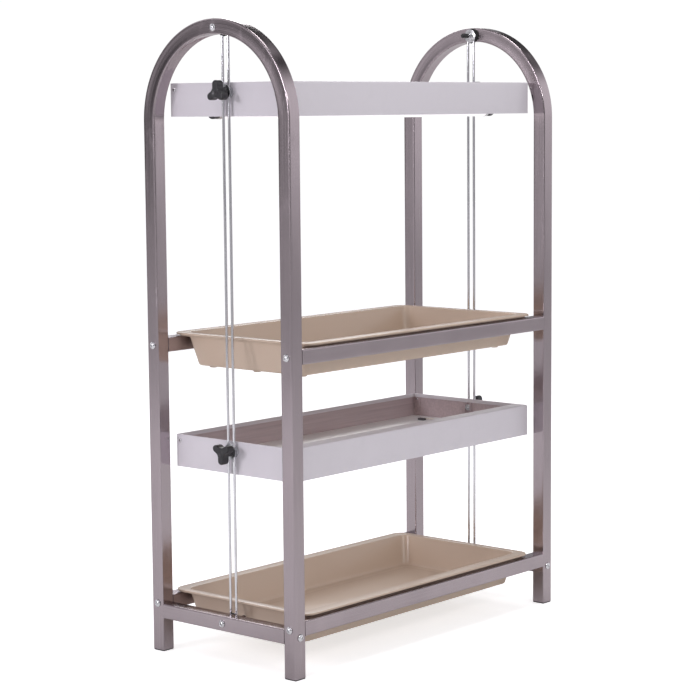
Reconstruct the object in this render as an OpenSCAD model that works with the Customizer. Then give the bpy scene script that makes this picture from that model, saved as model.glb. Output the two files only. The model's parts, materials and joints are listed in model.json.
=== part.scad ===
// Two-tier light stand for indoor plants.
// Two arched end frames of square tube carry four long rails. Each tier has a plant tray on its
// rails and a light fixture above it, clamped to a pair of guide rods at each end.
// Millimetres. X runs along the stand, Y from front to back, Z up. The origin is the middle of
// the footprint, on the floor.

/* [Frame] */
// Overall length, over the end frames
length = 725; // [600:1:900]
// Overall depth, over the legs
depth = 335; // [290:1:420]
// Overall height, floor to the top of the arches
height = 1085; // [1040:1:1320]
// Side of the square tube
tube = 25.4; // [23:0.1:27]
// Wall of the square tube
tube_wall = 1.2; // [0.9:0.1:1.6]
// Outside corner radius of the square tube
tube_corner = 2; // [1.8:0.1:3]
// Height of the centre of the rails under the upper tray
mid_rail_z = 535; // [525:1:545]
// Height of the centre of the rails under the lower tray
low_rail_z = 84; // [82:1:92]
// Height of the centre of the short rails between the legs
end_rail_z = 71.3; // [64:0.1:71.5]
// Thickness of the foot cap under each leg
foot_flange = 2; // [1.5:0.1:6]
// Depth that a foot cap reaches into its leg
foot_stem = 16; // [10:1:25]
// Length of the threaded plug in the end of each rail
insert_l = 24; // [16:1:35]

/* [Fasteners] */
// Shank diameter of the frame bolts
bolt_d = 6.35; // [5:0.05:7]
// Diameter of a pan head
head_d = 12.7; // [11:0.1:14]
// Height of a pan head
head_h = 4; // [3.4:0.1:4.6]
// Height of the straight edge under a pan head's dome
head_edge = 1.2; // [0.8:0.1:1.6]
// Width of each arm of the cross recess
recess_w = 1.6; // [1.2:0.1:2]
// Length across the cross recess
recess_l = 6.4; // [5:0.1:8]
// Depth of the cross recess
recess_depth = 1.8; // [1:0.1:2.2]
// Radial room round a bolt in a drilled hole
bolt_room = 0.25; // [0.1:0.05:0.5]
// Radial room between a screw thread's crest and its nut, with the thread left out
thread_room = 0.05; // [0.02:0.01:0.1]

/* [Guide rods] */
// Diameter of a guide rod
rod_d = 4.8; // [4:0.1:5.4]
// Distance between the two rods of a pair
rod_pitch = 13.2; // [13:0.1:16]
// Length of rod below its bottom bolt
rod_tail = 9; // [6:1:14]
// Distance from the top of an arch down to the bolt that the rods hang on
top_bolt_drop = 15; // [14:0.5:16]
// Diameter of the rubber pad behind the rods
pad_d = 28; // [26:0.5:28]
// Thickness of the rubber pad
pad_t = 1.5; // [1:0.1:3]
// Diameter of the cup washer that presses on the rods
cup_d = 25; // [22:0.5:30]
// Thickness of the cup washer
cup_t = 2; // [1.5:0.1:3]
// Diameter of the raised middle of the cup washer
cup_boss_d = 15; // [14:0.5:18]
// Height of the raised middle of the cup washer
cup_boss_h = 1.2; // [0.8:0.1:2]
// Width across the flats of a nut
nut_af = 11; // [10:0.1:12]
// Thickness of a nut
nut_h = 5.5; // [4:0.1:6.5]
// Outside diameter of the cap over a thread's end
cap_d = 8.6; // [8.4:0.1:9.4]
// Length of the cap over a thread's end
cap_l = 17; // [12:1:20]
// Thickness of the cap's closed end
cap_end = 1.5; // [1:0.1:3]

/* [Light fixture] */
// Height of the fixture's walls
fixture_h = 56.5; // [52:0.5:70]
// Height of the underside of the upper fixture
upper_z = 924.5; // [915:0.5:930]
// Height of the underside of the lower fixture
lower_z = 323; // [300:0.5:345]
// Gap from the face of the legs to the side of a fixture
fixture_side_gap = 31; // [27:0.5:40]
// Sheet metal thickness
sheet = 1; // [0.8:0.1:1.5]
// Outside radius of the bends at the top of the front wall
bend_r = 2.4; // [2:0.1:3]
// Width of the flange along the top of the front wall
flange_w = 28; // [26:0.5:40]
// Depth of the lip that hangs from the flange
flange_lip = 9; // [6:0.5:12]
// Depth of the folded hem along the other walls
hem_h = 7; // [5:0.5:8]
// Width of the tab that joins two walls at a corner
tab_w = 15; // [12:0.5:20]
// Height of the underside of the reflector pan
pan_z = 12.5; // [12:0.5:15]
// Depth of the skirts along the reflector pan
pan_skirt = 8; // [5:0.5:10]
// Distance from the top of a fixture down to its clamp screws
clamp_drop = 16.5; // [15:0.5:22]
// Distance from the top of a fixture down to a corner rivet
rivet_drop = 11; // [10.5:0.5:13]
// Distance from the side of a fixture in to a corner rivet
rivet_inset = 8; // [6:0.5:10]
// Diameter of a rivet's head
rivet_head = 6.6; // [6:0.2:7.6]
// Diameter of a rivet's shank
rivet_d = 3.6; // [3:0.2:4]
// Height of a rivet's head
rivet_h = 1.5; // [1:0.1:2]
// Length of the ballast
ballast_l = 280; // [200:5:320]
// Width of the ballast
ballast_w = 20; // [16:0.5:21]
// Height of the ballast
ballast_h = 22; // [18:0.5:24]
// Height of the cord entry above the underside of a fixture
gland_z = 28; // [26:0.5:32]
// Radius of the cord entry's bore
gland_r = 3.5; // [2.5:0.1:4]

/* [Lamps] */
// Length of a lamp, without its pins
lamp_l = 549; // [400:1:549]
// Diameter of a lamp's metal end caps
lamp_d = 16; // [14:0.1:16.4]
// Distance from the middle of a fixture to each lamp
lamp_y = 80; // [60:1:88]
// Height of a lamp's axis above the underside of its fixture
lamp_z = 3; // [2.5:0.1:3.4]
// Radius of the round face of a lampholder
holder_r = 12; // [11.5:0.1:12.5]
// Height of the centre of that face above the underside of the fixture
holder_z = 7.5; // [7:0.1:8]
// Thickness of a lampholder
holder_t = 10; // [9:0.5:12]

/* [Clamp knobs] */
// Radius over the three lobes of a knob
knob_r = 20; // [17:0.5:21]
// Radius of the round end of a lobe
lobe_r = 6; // [5:0.1:6.5]
// Depth of the lobes along the screw
lobe_h = 15; // [12:0.5:16]
// Diameter of a knob's hub
hub_d = 17; // [15:0.5:20]
// Depth of the hub below the lobes
hub_h = 8; // [6:0.5:9]
// Diameter of the clamp washer
washer_d = 27; // [24:0.5:30]
// Thickness of the clamp washer
washer_t = 1.5; // [1.2:0.1:2]
// Diameter of the spacer between the rods and a fixture
spacer_d = 22; // [20:0.5:24]
// Thickness of that spacer
spacer_t = 3.5; // [3:0.1:6]

/* [Trays] */
// Gap from the end of the stand to a tray's rim
tray_end_gap = 48; // [44:0.5:60]
// Gap from the face of the legs to a tray's rim
tray_side_gap = 8.5; // [4:0.5:10]
// Distance that the lower tray stands off centre, towards the left end
low_tray_shift = 8; // [0:0.5:9]
// Height of the top of the rim above the rails
rim_z = 6.4; // [5:0.1:9]
// Thickness of the rim
rim_t = 3.4; // [2:0.1:4]
// Corner radius of the rim
rim_corner = 22; // [16:1:30]
// Distance that the shoulder under the rim stands back from its edge
shoulder_inset = 7; // [5:0.5:8]
// Room between the tub and the rails
tub_room = 3; // [1.5:0.1:5]
// Distance that the tub narrows on each side, from its rim to its floor
tub_draft = 15; // [10:0.5:20]
// Depth of the tub below the top of the rails
tub_depth = 51.5; // [40:0.5:52]
// Wall of the tub
tray_wall = 2.5; // [2:0.1:4]
// Corner radius of the tub at its floor
tub_corner = 16; // [12:1:24]
// Diameter of a tray's feet
tray_foot_d = 16; // [12:1:20]
// Height of a tray's feet
tray_foot_h = 4.5; // [3:0.5:5]

/* [Hidden] */
$fn = 48;
// Extra length that carries a cut past the face it leaves
over = 1;
// Room left between pieces that slide or turn on each other
slide_gap = 0.3;
// Rail plug's length that the bolt's end leaves free
plug_free = 3;
// Bolt's end short of the closed end of its cap
cap_room = 1;
// Wire size of the lamp leads
lead_d = 2.4;
// Distance between a lead that passes a part and that part
lead_lane = 3;
// Foot of a lampholder: its width, and its height above the pan
holder_foot_w = 14;
holder_foot_h = 4;
// Gap between a lamp's cap and the lampholder's face
holder_gap = 0.4;
// Lamp pins: radius of the pair, diameter and length
pin_ring = 2.5;
pin_d = 2.4;
pin_l = 6.5;
// Lamp cap: its length, and its step over the glass on the diameter
lamp_cap_l = 9;
lamp_step = 0.6;
// Ballast ear: its length, its hole and the metal left on each side of the ballast's width
ear_l = 12;
ear_hole = 4.5;
ear_inset = 2;
// Gap between the ballast and the front wall
ballast_gap = 1.5;
// Wireway cover: the length that it leaves to the lamp's ends, and the width of its foot
cover_short = 30;
cover_foot = 8;
// Corner tab: gaps to the pan below it and the hem above it
tab_foot_gap = 2;
tab_hem_gap = 0.5;
// Upset end of a rivet: its height and its extra diameter
rivet_tail = 1.5;
rivet_upset = 1.4;
// How much larger than the head's radius the dome of a rivet is
rivet_dome = 0.8;
// Cord entry: wall of its body, width and thickness of its flanges, and gap to the front wall
gland_wall = 2;
gland_rim = 1.5;
gland_flange_t = 2;
gland_gap = 0.5;
// Clamp screw: length in the knob, and length past its nut
stud_in = 12;
stud_past = 4;
// Gap between the knob and its washer
knob_gap = 0.2;
// Tray feet: distance from the edge of the floor, taper on the diameter and height in the floor
tray_foot_inset = 12;
tray_foot_taper = 3;
tray_foot_root = 0.5;
// Thickness of the thin discs that carry the ends of the tapered tub
disc_t = 0.1;
// Facets of the tub's corners and of the leads
tray_fn = 32;
lead_fn = 24;

// Frame
half_l = length / 2;
half_d = depth / 2;
frame_x = half_l - tube / 2;
inner_x = half_l - tube;
leg_y = half_d - tube / 2;
inner_y = half_d - tube;
spring_z = height - half_d;
top_bolt_z = height - top_bolt_drop;
bore_side = tube - 2 * tube_wall;
plug_corner = tube_corner - tube_wall + 2 * slide_gap;
bolt_hole = bolt_d + 2 * bolt_room;
nut_bore = bolt_d + 2 * thread_room;
insert_reach = tube + insert_l - plug_free;

// Guide rods
rod_x = inner_x - pad_t - rod_d / 2;
cup_x = rod_x - rod_d / 2;
nut_x = cup_x - cup_t - cup_boss_h;
cap_x = nut_x - nut_h;
rod_bolt_reach = half_l - cap_x + cap_l - cap_end - cap_room;

// Light fixture
spacer_x = rod_x - rod_d / 2 - slide_gap;
fixture_half_l = spacer_x - spacer_t;
fixture_half_w = half_d - fixture_side_gap;
clamp_z = fixture_h - clamp_drop;
pan_top = pan_z + sheet;
cover_y = -fixture_half_w + flange_w - 2 * sheet;
ballast_y = -fixture_half_w + sheet + ballast_gap + ballast_w / 2;
tab_z = pan_top + tab_foot_gap;
tab_top = fixture_h - hem_h - tab_hem_gap;
nut_rib = nut_h + sheet;
gland_body_r = gland_r + gland_wall;
gland_flange_r = gland_body_r + gland_rim;
gland_y = -fixture_half_w + sheet + gland_gap + gland_flange_r;
cover_l = lamp_l - cover_short;
cover_h = fixture_h - bend_r - pan_top;
holder_x = lamp_l / 2 + holder_gap;
holder_foot_t = holder_t - 2 * sheet;
socket_r = pin_ring + pin_d / 2 + holder_gap;
socket_depth = pin_l + pin_d / 2;
slot_w = pin_d + 2 * slide_gap;
lead_z = pan_top + sheet + lead_d / 2 + slide_gap;
stud_hole = bolt_d + 2 * bolt_room;
rivet_dome_r = rivet_head / 2 + rivet_dome;

// Clamp knobs
washer_x = rod_x + rod_d / 2 + slide_gap;
knob_x = washer_x + washer_t + knob_gap;
stud_reach = knob_x - (fixture_half_l - sheet) + nut_h + stud_past;

// Trays
rim_half_l = half_l - tray_end_gap;
rim_half_w = half_d - tray_side_gap;
tub_half_w = inner_y - tub_room;
tub_half_l = rim_half_l - (rim_half_w - tub_half_w) + shoulder_inset;
mid_tray_z = mid_rail_z + tube / 2;
low_tray_z = low_rail_z + tube / 2;
tray_foot_x = tub_half_l - tub_draft - tray_foot_inset - tray_foot_d / 2;
tray_foot_y = tub_half_w - tub_draft - tray_foot_inset - tray_foot_d / 2;

// ---- shared shapes ----

// Square with rounded corners, centred
module rounded_square(side_x, side_y, r) {
    square([side_x, side_y - 2 * r], center = true);
    square([side_x - 2 * r, side_y], center = true);
    for (i = [-1, 1], j = [-1, 1])
        translate([i * (side_x / 2 - r), j * (side_y / 2 - r)])
            circle(r);
}

// Outline of the square tube's outside
module tube_outside() {
    rounded_square(tube, tube, tube_corner);
}

// Outline of the square tube's inside
module tube_inside() {
    rounded_square(bore_side, bore_side, tube_corner - tube_wall);
}

// Straight length of tube along Z, centred
module tube_length(l) {
    linear_extrude(l, center = true)
        difference() {
            tube_outside();
            tube_inside();
        }
}

// Cylinder along X, centred
module rod_along_x(d, l) {
    rotate([0, 90, 0])
        cylinder(d = d, h = l, center = true);
}

// Cylinder along Y, centred
module rod_along_y(d, l) {
    rotate([90, 0, 0])
        cylinder(d = d, h = l, center = true);
}

// Stands its child, built along +Z, on the outside of an end: side is -1 left or 1 right
module facing_end(side, x, y, z) {
    translate([side * x, y, z])
        rotate([0, side * 90, 0])
            children();
}

// Pan head bolt: the head stands on z = 0 and the shank goes down
module pan_bolt(shank) {
    dome = head_h - head_edge;
    dome_r = (head_d * head_d / 4 + dome * dome) / (2 * dome);
    difference() {
        intersection() {
            cylinder(d = head_d, h = head_h);
            translate([0, 0, head_h - dome_r])
                sphere(dome_r);
        }
        for (turn = [0, 90])
            rotate([0, 0, turn])
                translate([-recess_l / 2, -recess_w / 2, head_h - recess_depth])
                    cube([recess_l, recess_w, recess_depth + over]);
    }
    translate([0, 0, -shank])
        cylinder(d = bolt_d, h = shank + head_edge / 2);
}

// Hexagon nut standing on z = 0
module hex_nut() {
    difference() {
        cylinder(d = nut_af / cos(30), h = nut_h, $fn = 6);
        translate([0, 0, -over])
            cylinder(d = nut_bore, h = nut_h + 2 * over);
    }
}

// ---- frame ----

// One leg, bend and leg as a solid bar of the given outline
module arch_bar(low) {
    for (side = [-1, 1])
        translate([0, side * leg_y, low])
            linear_extrude(spring_z - low)
                children();
    translate([0, 0, spring_z])
        rotate([90, 0, 90])
            rotate_extrude(angle = 180)
                translate([leg_y, 0])
                    children();
}

// Arched end frame: one length of square tube bent into an upside-down U
module end_frame() {
    color("rosybrown")
        difference() {
            arch_bar(foot_flange)
                tube_outside();
            arch_bar(foot_flange - over)
                tube_inside();
            for (side = [-1, 1]) {
                for (z = [low_rail_z, mid_rail_z])
                    translate([0, side * leg_y, z])
                        rod_along_x(bolt_hole, tube + 2 * over);
                translate([0, side * leg_y, end_rail_z])
                    rod_along_y(bolt_hole, tube + 2 * over);
            }
            translate([0, 0, top_bolt_z])
                rod_along_x(bolt_hole, tube + 2 * over);
        }
}

// Long rail between the end frames
module long_rail(side, z) {
    color("rosybrown")
        translate([0, side * leg_y, z])
            rotate([0, 90, 0])
                tube_length(2 * inner_x);
}

// Short rail between the two legs of an end frame
module end_rail(side) {
    color("rosybrown")
        translate([side * frame_x, 0, end_rail_z])
            difference() {
                rotate([90, 0, 0])
                    tube_length(2 * inner_y);
                rod_along_x(bolt_hole, tube + 2 * over);
            }
}

// Plastic cap in the bottom of each leg
module foot_caps() {
    color("dimgray")
        for (i = [-1, 1], j = [-1, 1])
            translate([i * frame_x, j * leg_y, 0]) {
                linear_extrude(foot_flange)
                    tube_outside();
                linear_extrude(foot_flange + foot_stem)
                    rounded_square(bore_side, bore_side, plug_corner);
            }
}

// Threaded plug that fills the end of a rail, from z = 0 down
module rail_plug() {
    translate([0, 0, -insert_l])
        difference() {
            linear_extrude(insert_l)
                rounded_square(bore_side, bore_side, plug_corner);
            translate([0, 0, -over])
                cylinder(d = nut_bore, h = insert_l + 2 * over);
        }
}

// Plugs in both ends of the four long rails
module rail_plugs() {
    color("slategray")
        for (i = [-1, 1], j = [-1, 1], z = [low_rail_z, mid_rail_z])
            facing_end(i, inner_x, j * leg_y, z)
                rail_plug();
}

// Plugs in both ends of the short rails
module end_rail_plugs() {
    color("slategray")
        for (i = [-1, 1], j = [-1, 1])
            translate([i * frame_x, j * inner_y, end_rail_z])
                rotate([-j * 90, 0, 0])
                    rail_plug();
}

// Bolts through the legs into the long rails
module rail_bolts() {
    color("gainsboro")
        for (i = [-1, 1], j = [-1, 1], z = [low_rail_z, mid_rail_z])
            facing_end(i, half_l, j * leg_y, z)
                pan_bolt(insert_reach);
}

// Bolts through the legs into the short rails
module end_rail_bolts() {
    color("gainsboro")
        for (i = [-1, 1], j = [-1, 1])
            translate([i * frame_x, j * half_d, end_rail_z])
                rotate([-j * 90, 0, 0])
                    pan_bolt(insert_reach);
}

// ---- guide rods ----

// Hairpin of two rods, looped over the top bolt
module guide_rods(side) {
    color("silver")
        translate([side * rod_x, 0, 0]) {
            for (j = [-1, 1])
                translate([0, j * rod_pitch / 2, end_rail_z - rod_tail])
                    cylinder(d = rod_d, h = top_bolt_z - end_rail_z + rod_tail);
            translate([0, 0, top_bolt_z])
                rotate([90, 0, 90])
                    rotate_extrude(angle = 180)
                        translate([rod_pitch / 2, 0])
                            circle(d = rod_d);
        }
}

// Bolts that hold the rods to the arches and the short rails
module rod_bolts() {
    color("gainsboro")
        for (i = [-1, 1], z = [end_rail_z, top_bolt_z])
            facing_end(i, half_l, 0, z)
                pan_bolt(rod_bolt_reach);
}

// Rubber pads between the frame and the rods
module rod_pads() {
    color("dimgray")
        for (i = [-1, 1], z = [end_rail_z, top_bolt_z])
            facing_end(i, inner_x - pad_t, 0, z)
                difference() {
                    cylinder(d = pad_d, h = pad_t);
                    translate([0, 0, -over])
                        cylinder(d = bolt_hole, h = pad_t + 2 * over);
                }
}

// Cup washers that press the rods against the pads
module cup_washers() {
    color("gainsboro")
        for (i = [-1, 1], z = [end_rail_z, top_bolt_z])
            facing_end(i, nut_x, 0, z)
                difference() {
                    union() {
                        cylinder(d = cup_boss_d, h = cup_boss_h + cup_t);
                        translate([0, 0, cup_boss_h])
                            cylinder(d = cup_d, h = cup_t);
                    }
                    translate([0, 0, -over])
                        cylinder(d = bolt_hole, h = cup_boss_h + cup_t + 2 * over);
                }
}

// Nuts on the rod bolts
module rod_nuts() {
    color("gainsboro")
        for (i = [-1, 1], z = [end_rail_z, top_bolt_z])
            facing_end(i, cap_x, 0, z)
                hex_nut();
}

// Caps over the ends of the rod bolts
module thread_caps() {
    color("dimgray")
        for (i = [-1, 1], z = [end_rail_z, top_bolt_z])
            facing_end(i, cap_x - cap_l, 0, z)
                difference() {
                    union() {
                        translate([0, 0, cap_d / 2])
                            cylinder(d = cap_d, h = cap_l - cap_d / 2);
                        translate([0, 0, cap_d / 2])
                            sphere(d = cap_d);
                    }
                    translate([0, 0, cap_end])
                        cylinder(d = nut_bore, h = cap_l);
                }
}

// ---- light fixture, with its underside at z = 0 ----

// Quarter of a bent sheet, outside radius bend_r, from the +x side to the +y side
module sheet_bend() {
    intersection() {
        difference() {
            circle(bend_r);
            circle(bend_r - sheet);
        }
        square(bend_r);
    }
}

// Section of the front wall, with its flange and lip: x is up from the wall's outside
module front_wall_section() {
    square([sheet, fixture_h - bend_r]);
    translate([bend_r, fixture_h - bend_r])
        mirror([1, 0])
            sheet_bend();
    translate([bend_r, fixture_h - sheet])
        square([flange_w - 2 * bend_r, sheet]);
    translate([flange_w - bend_r, fixture_h - bend_r])
        sheet_bend();
    translate([flange_w - sheet, fixture_h - bend_r - flange_lip])
        square([sheet, flange_lip]);
}

// Section of the back wall, with its hem
module back_wall_section() {
    translate([-sheet, 0])
        square([sheet, fixture_h]);
    translate([-2 * sheet, fixture_h - hem_h])
        square([sheet, hem_h]);
}

// Open box of folded sheet: two long walls, two end walls and the tabs that join them
module housing() {
    color("lavender")
        difference() {
            union() {
                rotate([90, 0, 90])
                    linear_extrude(2 * (fixture_half_l - sheet), center = true) {
                        translate([-fixture_half_w, 0])
                            front_wall_section();
                        translate([fixture_half_w, 0])
                            back_wall_section();
                    }
                for (i = [-1, 1])
                    end_wall(i);
            }
            for (i = [-1, 1]) {
                translate([i * fixture_half_l, 0, clamp_z])
                    rod_along_x(stud_hole, 6 * sheet);
                for (j = [-1, 1])
                    translate([i * fixture_half_l, j * (fixture_half_w - rivet_inset),
                               fixture_h - rivet_drop])
                        rod_along_x(rivet_d, 6 * sheet);
            }
            translate([fixture_half_l, gland_y, gland_z])
                rod_along_x(2 * gland_body_r, 6 * sheet);
        }
}

// End wall with its hem, its two corner tabs and the two ribs that keep the clamp nut from turning
module end_wall(side) {
    translate([side * (fixture_half_l - sheet / 2), 0, fixture_h / 2])
        cube([sheet, 2 * fixture_half_w, fixture_h], center = true);
    translate([side * (fixture_half_l - 1.5 * sheet), 0, fixture_h - hem_h / 2])
        cube([sheet, 2 * (fixture_half_w - sheet), hem_h], center = true);
    for (j = [-1, 1])
        translate([side * (fixture_half_l - 1.5 * sheet),
                   j * (fixture_half_w - sheet - tab_w / 2), (tab_z + tab_top) / 2])
            cube([sheet, tab_w, tab_top - tab_z], center = true);
    for (j = [-1, 1])
        translate([side * (fixture_half_l - sheet - nut_rib / 2),
                   j * (nut_af / 2 + slide_gap + sheet / 2), (tab_z + tab_top) / 2])
            cube([nut_rib, sheet, tab_top - tab_z], center = true);
}

// Reflector pan that closes the fixture above the lamps
module reflector() {
    color("white")
        difference() {
            union() {
                translate([0, 0, pan_z + sheet / 2])
                    cube([2 * (fixture_half_l - sheet), 2 * (fixture_half_w - sheet), sheet],
                         center = true);
                for (j = [-1, 1])
                    translate([0, j * (fixture_half_w - 1.5 * sheet), pan_z - pan_skirt / 2])
                        cube([2 * (fixture_half_l - 2 * sheet), sheet, pan_skirt],
                             center = true);
            }
            for (i = [-1, 1], j = [-1, 1])
                translate([i * (holder_x + holder_t / 2), j * lamp_y, pan_z])
                    cube([holder_foot_t, holder_foot_w, 4 * sheet], center = true);
        }
}

// Cover that closes the wireway under the front flange
module wireway_cover() {
    color("white")
        translate([0, cover_y, pan_top]) {
            translate([0, sheet / 2, cover_h / 2])
                cube([cover_l, sheet, cover_h], center = true);
            translate([0, sheet + cover_foot / 2, sheet / 2])
                cube([cover_l, cover_foot, sheet], center = true);
        }
}

// Electronic ballast in the wireway, with its two mounting ears
module ballast() {
    color("silver")
        translate([0, ballast_y, pan_top]) {
            translate([0, 0, ballast_h / 2])
                cube([ballast_l, ballast_w, ballast_h], center = true);
            for (i = [-1, 1])
                difference() {
                    translate([i * (ballast_l + ear_l) / 2, 0, sheet / 2])
                        cube([ear_l, ballast_w - 2 * ear_inset, sheet], center = true);
                    translate([i * (ballast_l + ear_l) / 2, 0, 0])
                        cylinder(d = ear_hole, h = 4 * sheet, center = true);
                }
        }
}

// One lampholder at the +X end of a lamp, with its foot through the pan
module lampholder() {
    difference() {
        union() {
            intersection() {
                translate([holder_x, 0, holder_z])
                    rotate([0, 90, 0])
                        cylinder(r = holder_r, h = holder_t);
                translate([holder_x - over, -holder_r - over, holder_z - holder_r - over])
                    cube([holder_t + 2 * over, 2 * (holder_r + over),
                          pan_z - holder_z + holder_r + over]);
            }
            translate([holder_x + (holder_t - holder_foot_t) / 2, -holder_foot_w / 2,
                       pan_z - over])
                cube([holder_foot_t, holder_foot_w, over + sheet + holder_foot_h]);
        }
        translate([holder_x - over, 0, lamp_z])
            rotate([0, 90, 0])
                cylinder(r = socket_r, h = socket_depth + over);
        translate([holder_x - over, -slot_w / 2, lamp_z - holder_r])
            cube([socket_depth + over, slot_w, holder_r]);
    }
}

// The four lampholders of a fixture
module lampholders() {
    color("whitesmoke")
        for (turn = [0, 180], j = [-1, 1])
            translate([0, j * lamp_y, 0])
                rotate([0, 0, turn])
                    lampholder();
}

// One straight stretch of wire between two points, with round ends
module wire(from, to) {
    run = to - from;
    translate(from)
        rotate([0, acos(run.z / norm(run)), atan2(run.y, run.x)])
            cylinder(d = lead_d, h = norm(run), $fn = lead_fn);
    for (p = [from, to])
        translate(p)
            sphere(d = lead_d, $fn = lead_fn);
}

// Lead from the ballast to the foot of a lampholder, through the given corners
module lead(points) {
    for (k = [1 : len(points) - 1])
        wire(points[k - 1], points[k]);
}

// The four leads of a fixture
module lamp_leads() {
    foot_x = holder_x + holder_t / 2;
    bypass_x = holder_x + holder_t + lead_lane;
    start_x = (ballast_l + lead_d) / 2;
    out_y = ballast_y - lead_lane;
    color("khaki")
        for (i = [-1, 1]) {
            lead([[i * start_x, ballast_y, lead_z],
                  [i * foot_x, ballast_y, lead_z],
                  [i * foot_x, -lamp_y - (holder_foot_w + lead_d) / 2, lead_z]]);
            lead([[i * start_x, out_y, lead_z],
                  [i * bypass_x, out_y, lead_z],
                  [i * bypass_x, lamp_y, lead_z],
                  [i * (foot_x + (holder_foot_t + lead_d) / 2), lamp_y, lead_z]]);
        }
}

// Fluorescent lamp: glass tube, two metal caps and their pins
module lamp(side) {
    color("white")
        translate([0, side * lamp_y, lamp_z]) {
            rod_along_x(lamp_d - lamp_step, lamp_l - lamp_cap_l);
            for (i = [-1, 1]) {
                translate([i * (lamp_l - lamp_cap_l) / 2, 0, 0])
                    rod_along_x(lamp_d, lamp_cap_l);
                for (j = [-1, 1])
                    translate([i * (lamp_l + pin_l) / 2, j * pin_ring, 0])
                        rod_along_x(pin_d, pin_l + over);
            }
        }
}

// Rivets through the end walls and their tabs
module rivets() {
    color("gainsboro")
        for (i = [-1, 1], j = [-1, 1])
            facing_end(i, fixture_half_l, j * (fixture_half_w - rivet_inset),
                       fixture_h - rivet_drop) {
                intersection() {
                    cylinder(d = rivet_head, h = rivet_h);
                    translate([0, 0, rivet_h - rivet_dome_r])
                        sphere(rivet_dome_r);
                }
                translate([0, 0, -2 * sheet - rivet_tail])
                    cylinder(d = rivet_d, h = 2 * sheet + rivet_tail + rivet_h / 3);
                translate([0, 0, -2 * sheet - rivet_tail])
                    cylinder(d = rivet_d + rivet_upset, h = rivet_tail);
            }
}

// Spacers between the end walls and the guide rods
module spacers() {
    color("gainsboro")
        for (i = [-1, 1])
            facing_end(i, fixture_half_l, 0, clamp_z)
                difference() {
                    cylinder(d = spacer_d, h = spacer_t);
                    translate([0, 0, -over])
                        cylinder(d = stud_hole, h = spacer_t + 2 * over);
                }
}

// Nuts fixed inside the end walls
module clamp_nuts() {
    color("gainsboro")
        for (i = [-1, 1])
            facing_end(i, fixture_half_l - sheet - nut_h, 0, clamp_z)
                hex_nut();
}

// Bushing where the supply cord enters the wireway, through the +X end wall and its tab
module cord_gland() {
    grip = 2 * sheet;
    color("dimgray")
        translate([fixture_half_l, gland_y, gland_z])
            rotate([0, 90, 0])
                difference() {
                    union() {
                        cylinder(r = gland_flange_r, h = gland_flange_t);
                        translate([0, 0, -grip - gland_flange_t])
                            cylinder(r = gland_body_r, h = grip + gland_flange_t + over);
                        translate([0, 0, -grip - gland_flange_t])
                            cylinder(r = gland_flange_r, h = gland_flange_t);
                    }
                    translate([0, 0, -grip - gland_flange_t - over])
                        cylinder(r = gland_r, h = grip + 2 * (gland_flange_t + over));
                }
}

// ---- clamps ----

// Washer that the knob presses against the rods
module clamp_washer(side, z) {
    color("gainsboro")
        facing_end(side, washer_x, 0, z)
            difference() {
                cylinder(d = washer_d, h = washer_t);
                translate([0, 0, -over])
                    cylinder(d = stud_hole, h = washer_t + 2 * over);
            }
}

// Screw that joins the knob to the nut inside the fixture
module clamp_stud(side, z) {
    color("silver")
        facing_end(side, knob_x - stud_reach, 0, z)
            cylinder(d = bolt_d, h = stud_reach + stud_in);
}

// Outline of the knob's three lobes; the first lobe points along +x
module knob_outline() {
    circle(hub_d / 2);
    for (turn = [0, 120, 240])
        rotate([0, 0, turn]) {
            translate([0, -lobe_r])
                square([knob_r - lobe_r, 2 * lobe_r]);
            translate([knob_r - lobe_r, 0])
                circle(lobe_r);
        }
}

// Three-lobed grip, turned by the given angle from a first lobe that points up
module knob(side, z, turn) {
    color("dimgray")
        facing_end(side, knob_x, 0, z)
            rotate([0, 0, (side < 0 ? 0 : 180) + turn])
                difference() {
                    union() {
                        cylinder(d = hub_d, h = hub_h + lobe_h / 2);
                        translate([0, 0, hub_h])
                            linear_extrude(lobe_h)
                                knob_outline();
                    }
                    translate([0, 0, -over])
                        cylinder(d = bolt_d, h = stud_in + over);
                }
}

// ---- trays, with the top of the rails at z = 0 ----

// Slab with rounded corners between two heights
module slab(half_x, half_y, r, z0, z1) {
    translate([0, 0, z0])
        linear_extrude(z1 - z0)
            rounded_square(2 * half_x, 2 * half_y, r);
}

// Tapered block: the tub's outside when wall is 0, and its inside otherwise
module tub_block(wall, top) {
    fall = tub_draft / (tub_depth + rim_z);
    shrink = (tub_depth - wall) * fall;
    grow = (top - rim_z) * fall;
    hull()
        for (i = [-1, 1], j = [-1, 1]) {
            translate([i * (tub_half_l + grow - tub_corner), j * (tub_half_w + grow - tub_corner),
                       top - disc_t])
                cylinder(r = tub_corner - wall, h = disc_t, $fn = tray_fn);
            translate([i * (tub_half_l - shrink - tub_corner),
                       j * (tub_half_w - shrink - tub_corner), wall - tub_depth])
                cylinder(r = tub_corner - wall, h = disc_t, $fn = tray_fn);
        }
}

// Moulded plant tray
module tray() {
    color("tan") {
        difference() {
            union() {
                slab(rim_half_l, rim_half_w, rim_corner, rim_z - rim_t, rim_z);
                slab(rim_half_l - shoulder_inset, rim_half_w - shoulder_inset,
                     rim_corner - shoulder_inset, 0, rim_z - rim_t / 2);
                tub_block(0, rim_z);
            }
            tub_block(tray_wall, rim_z + over);
        }
        for (i = [-1, 1], j = [-1, 0, 1])
            translate([i * tray_foot_x, j * tray_foot_y, -tub_depth - tray_foot_h])
                cylinder(d1 = tray_foot_d - tray_foot_taper, d2 = tray_foot_d,
                         h = tray_foot_h + tray_foot_root);
    }
}

// ---- assembly ----

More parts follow.
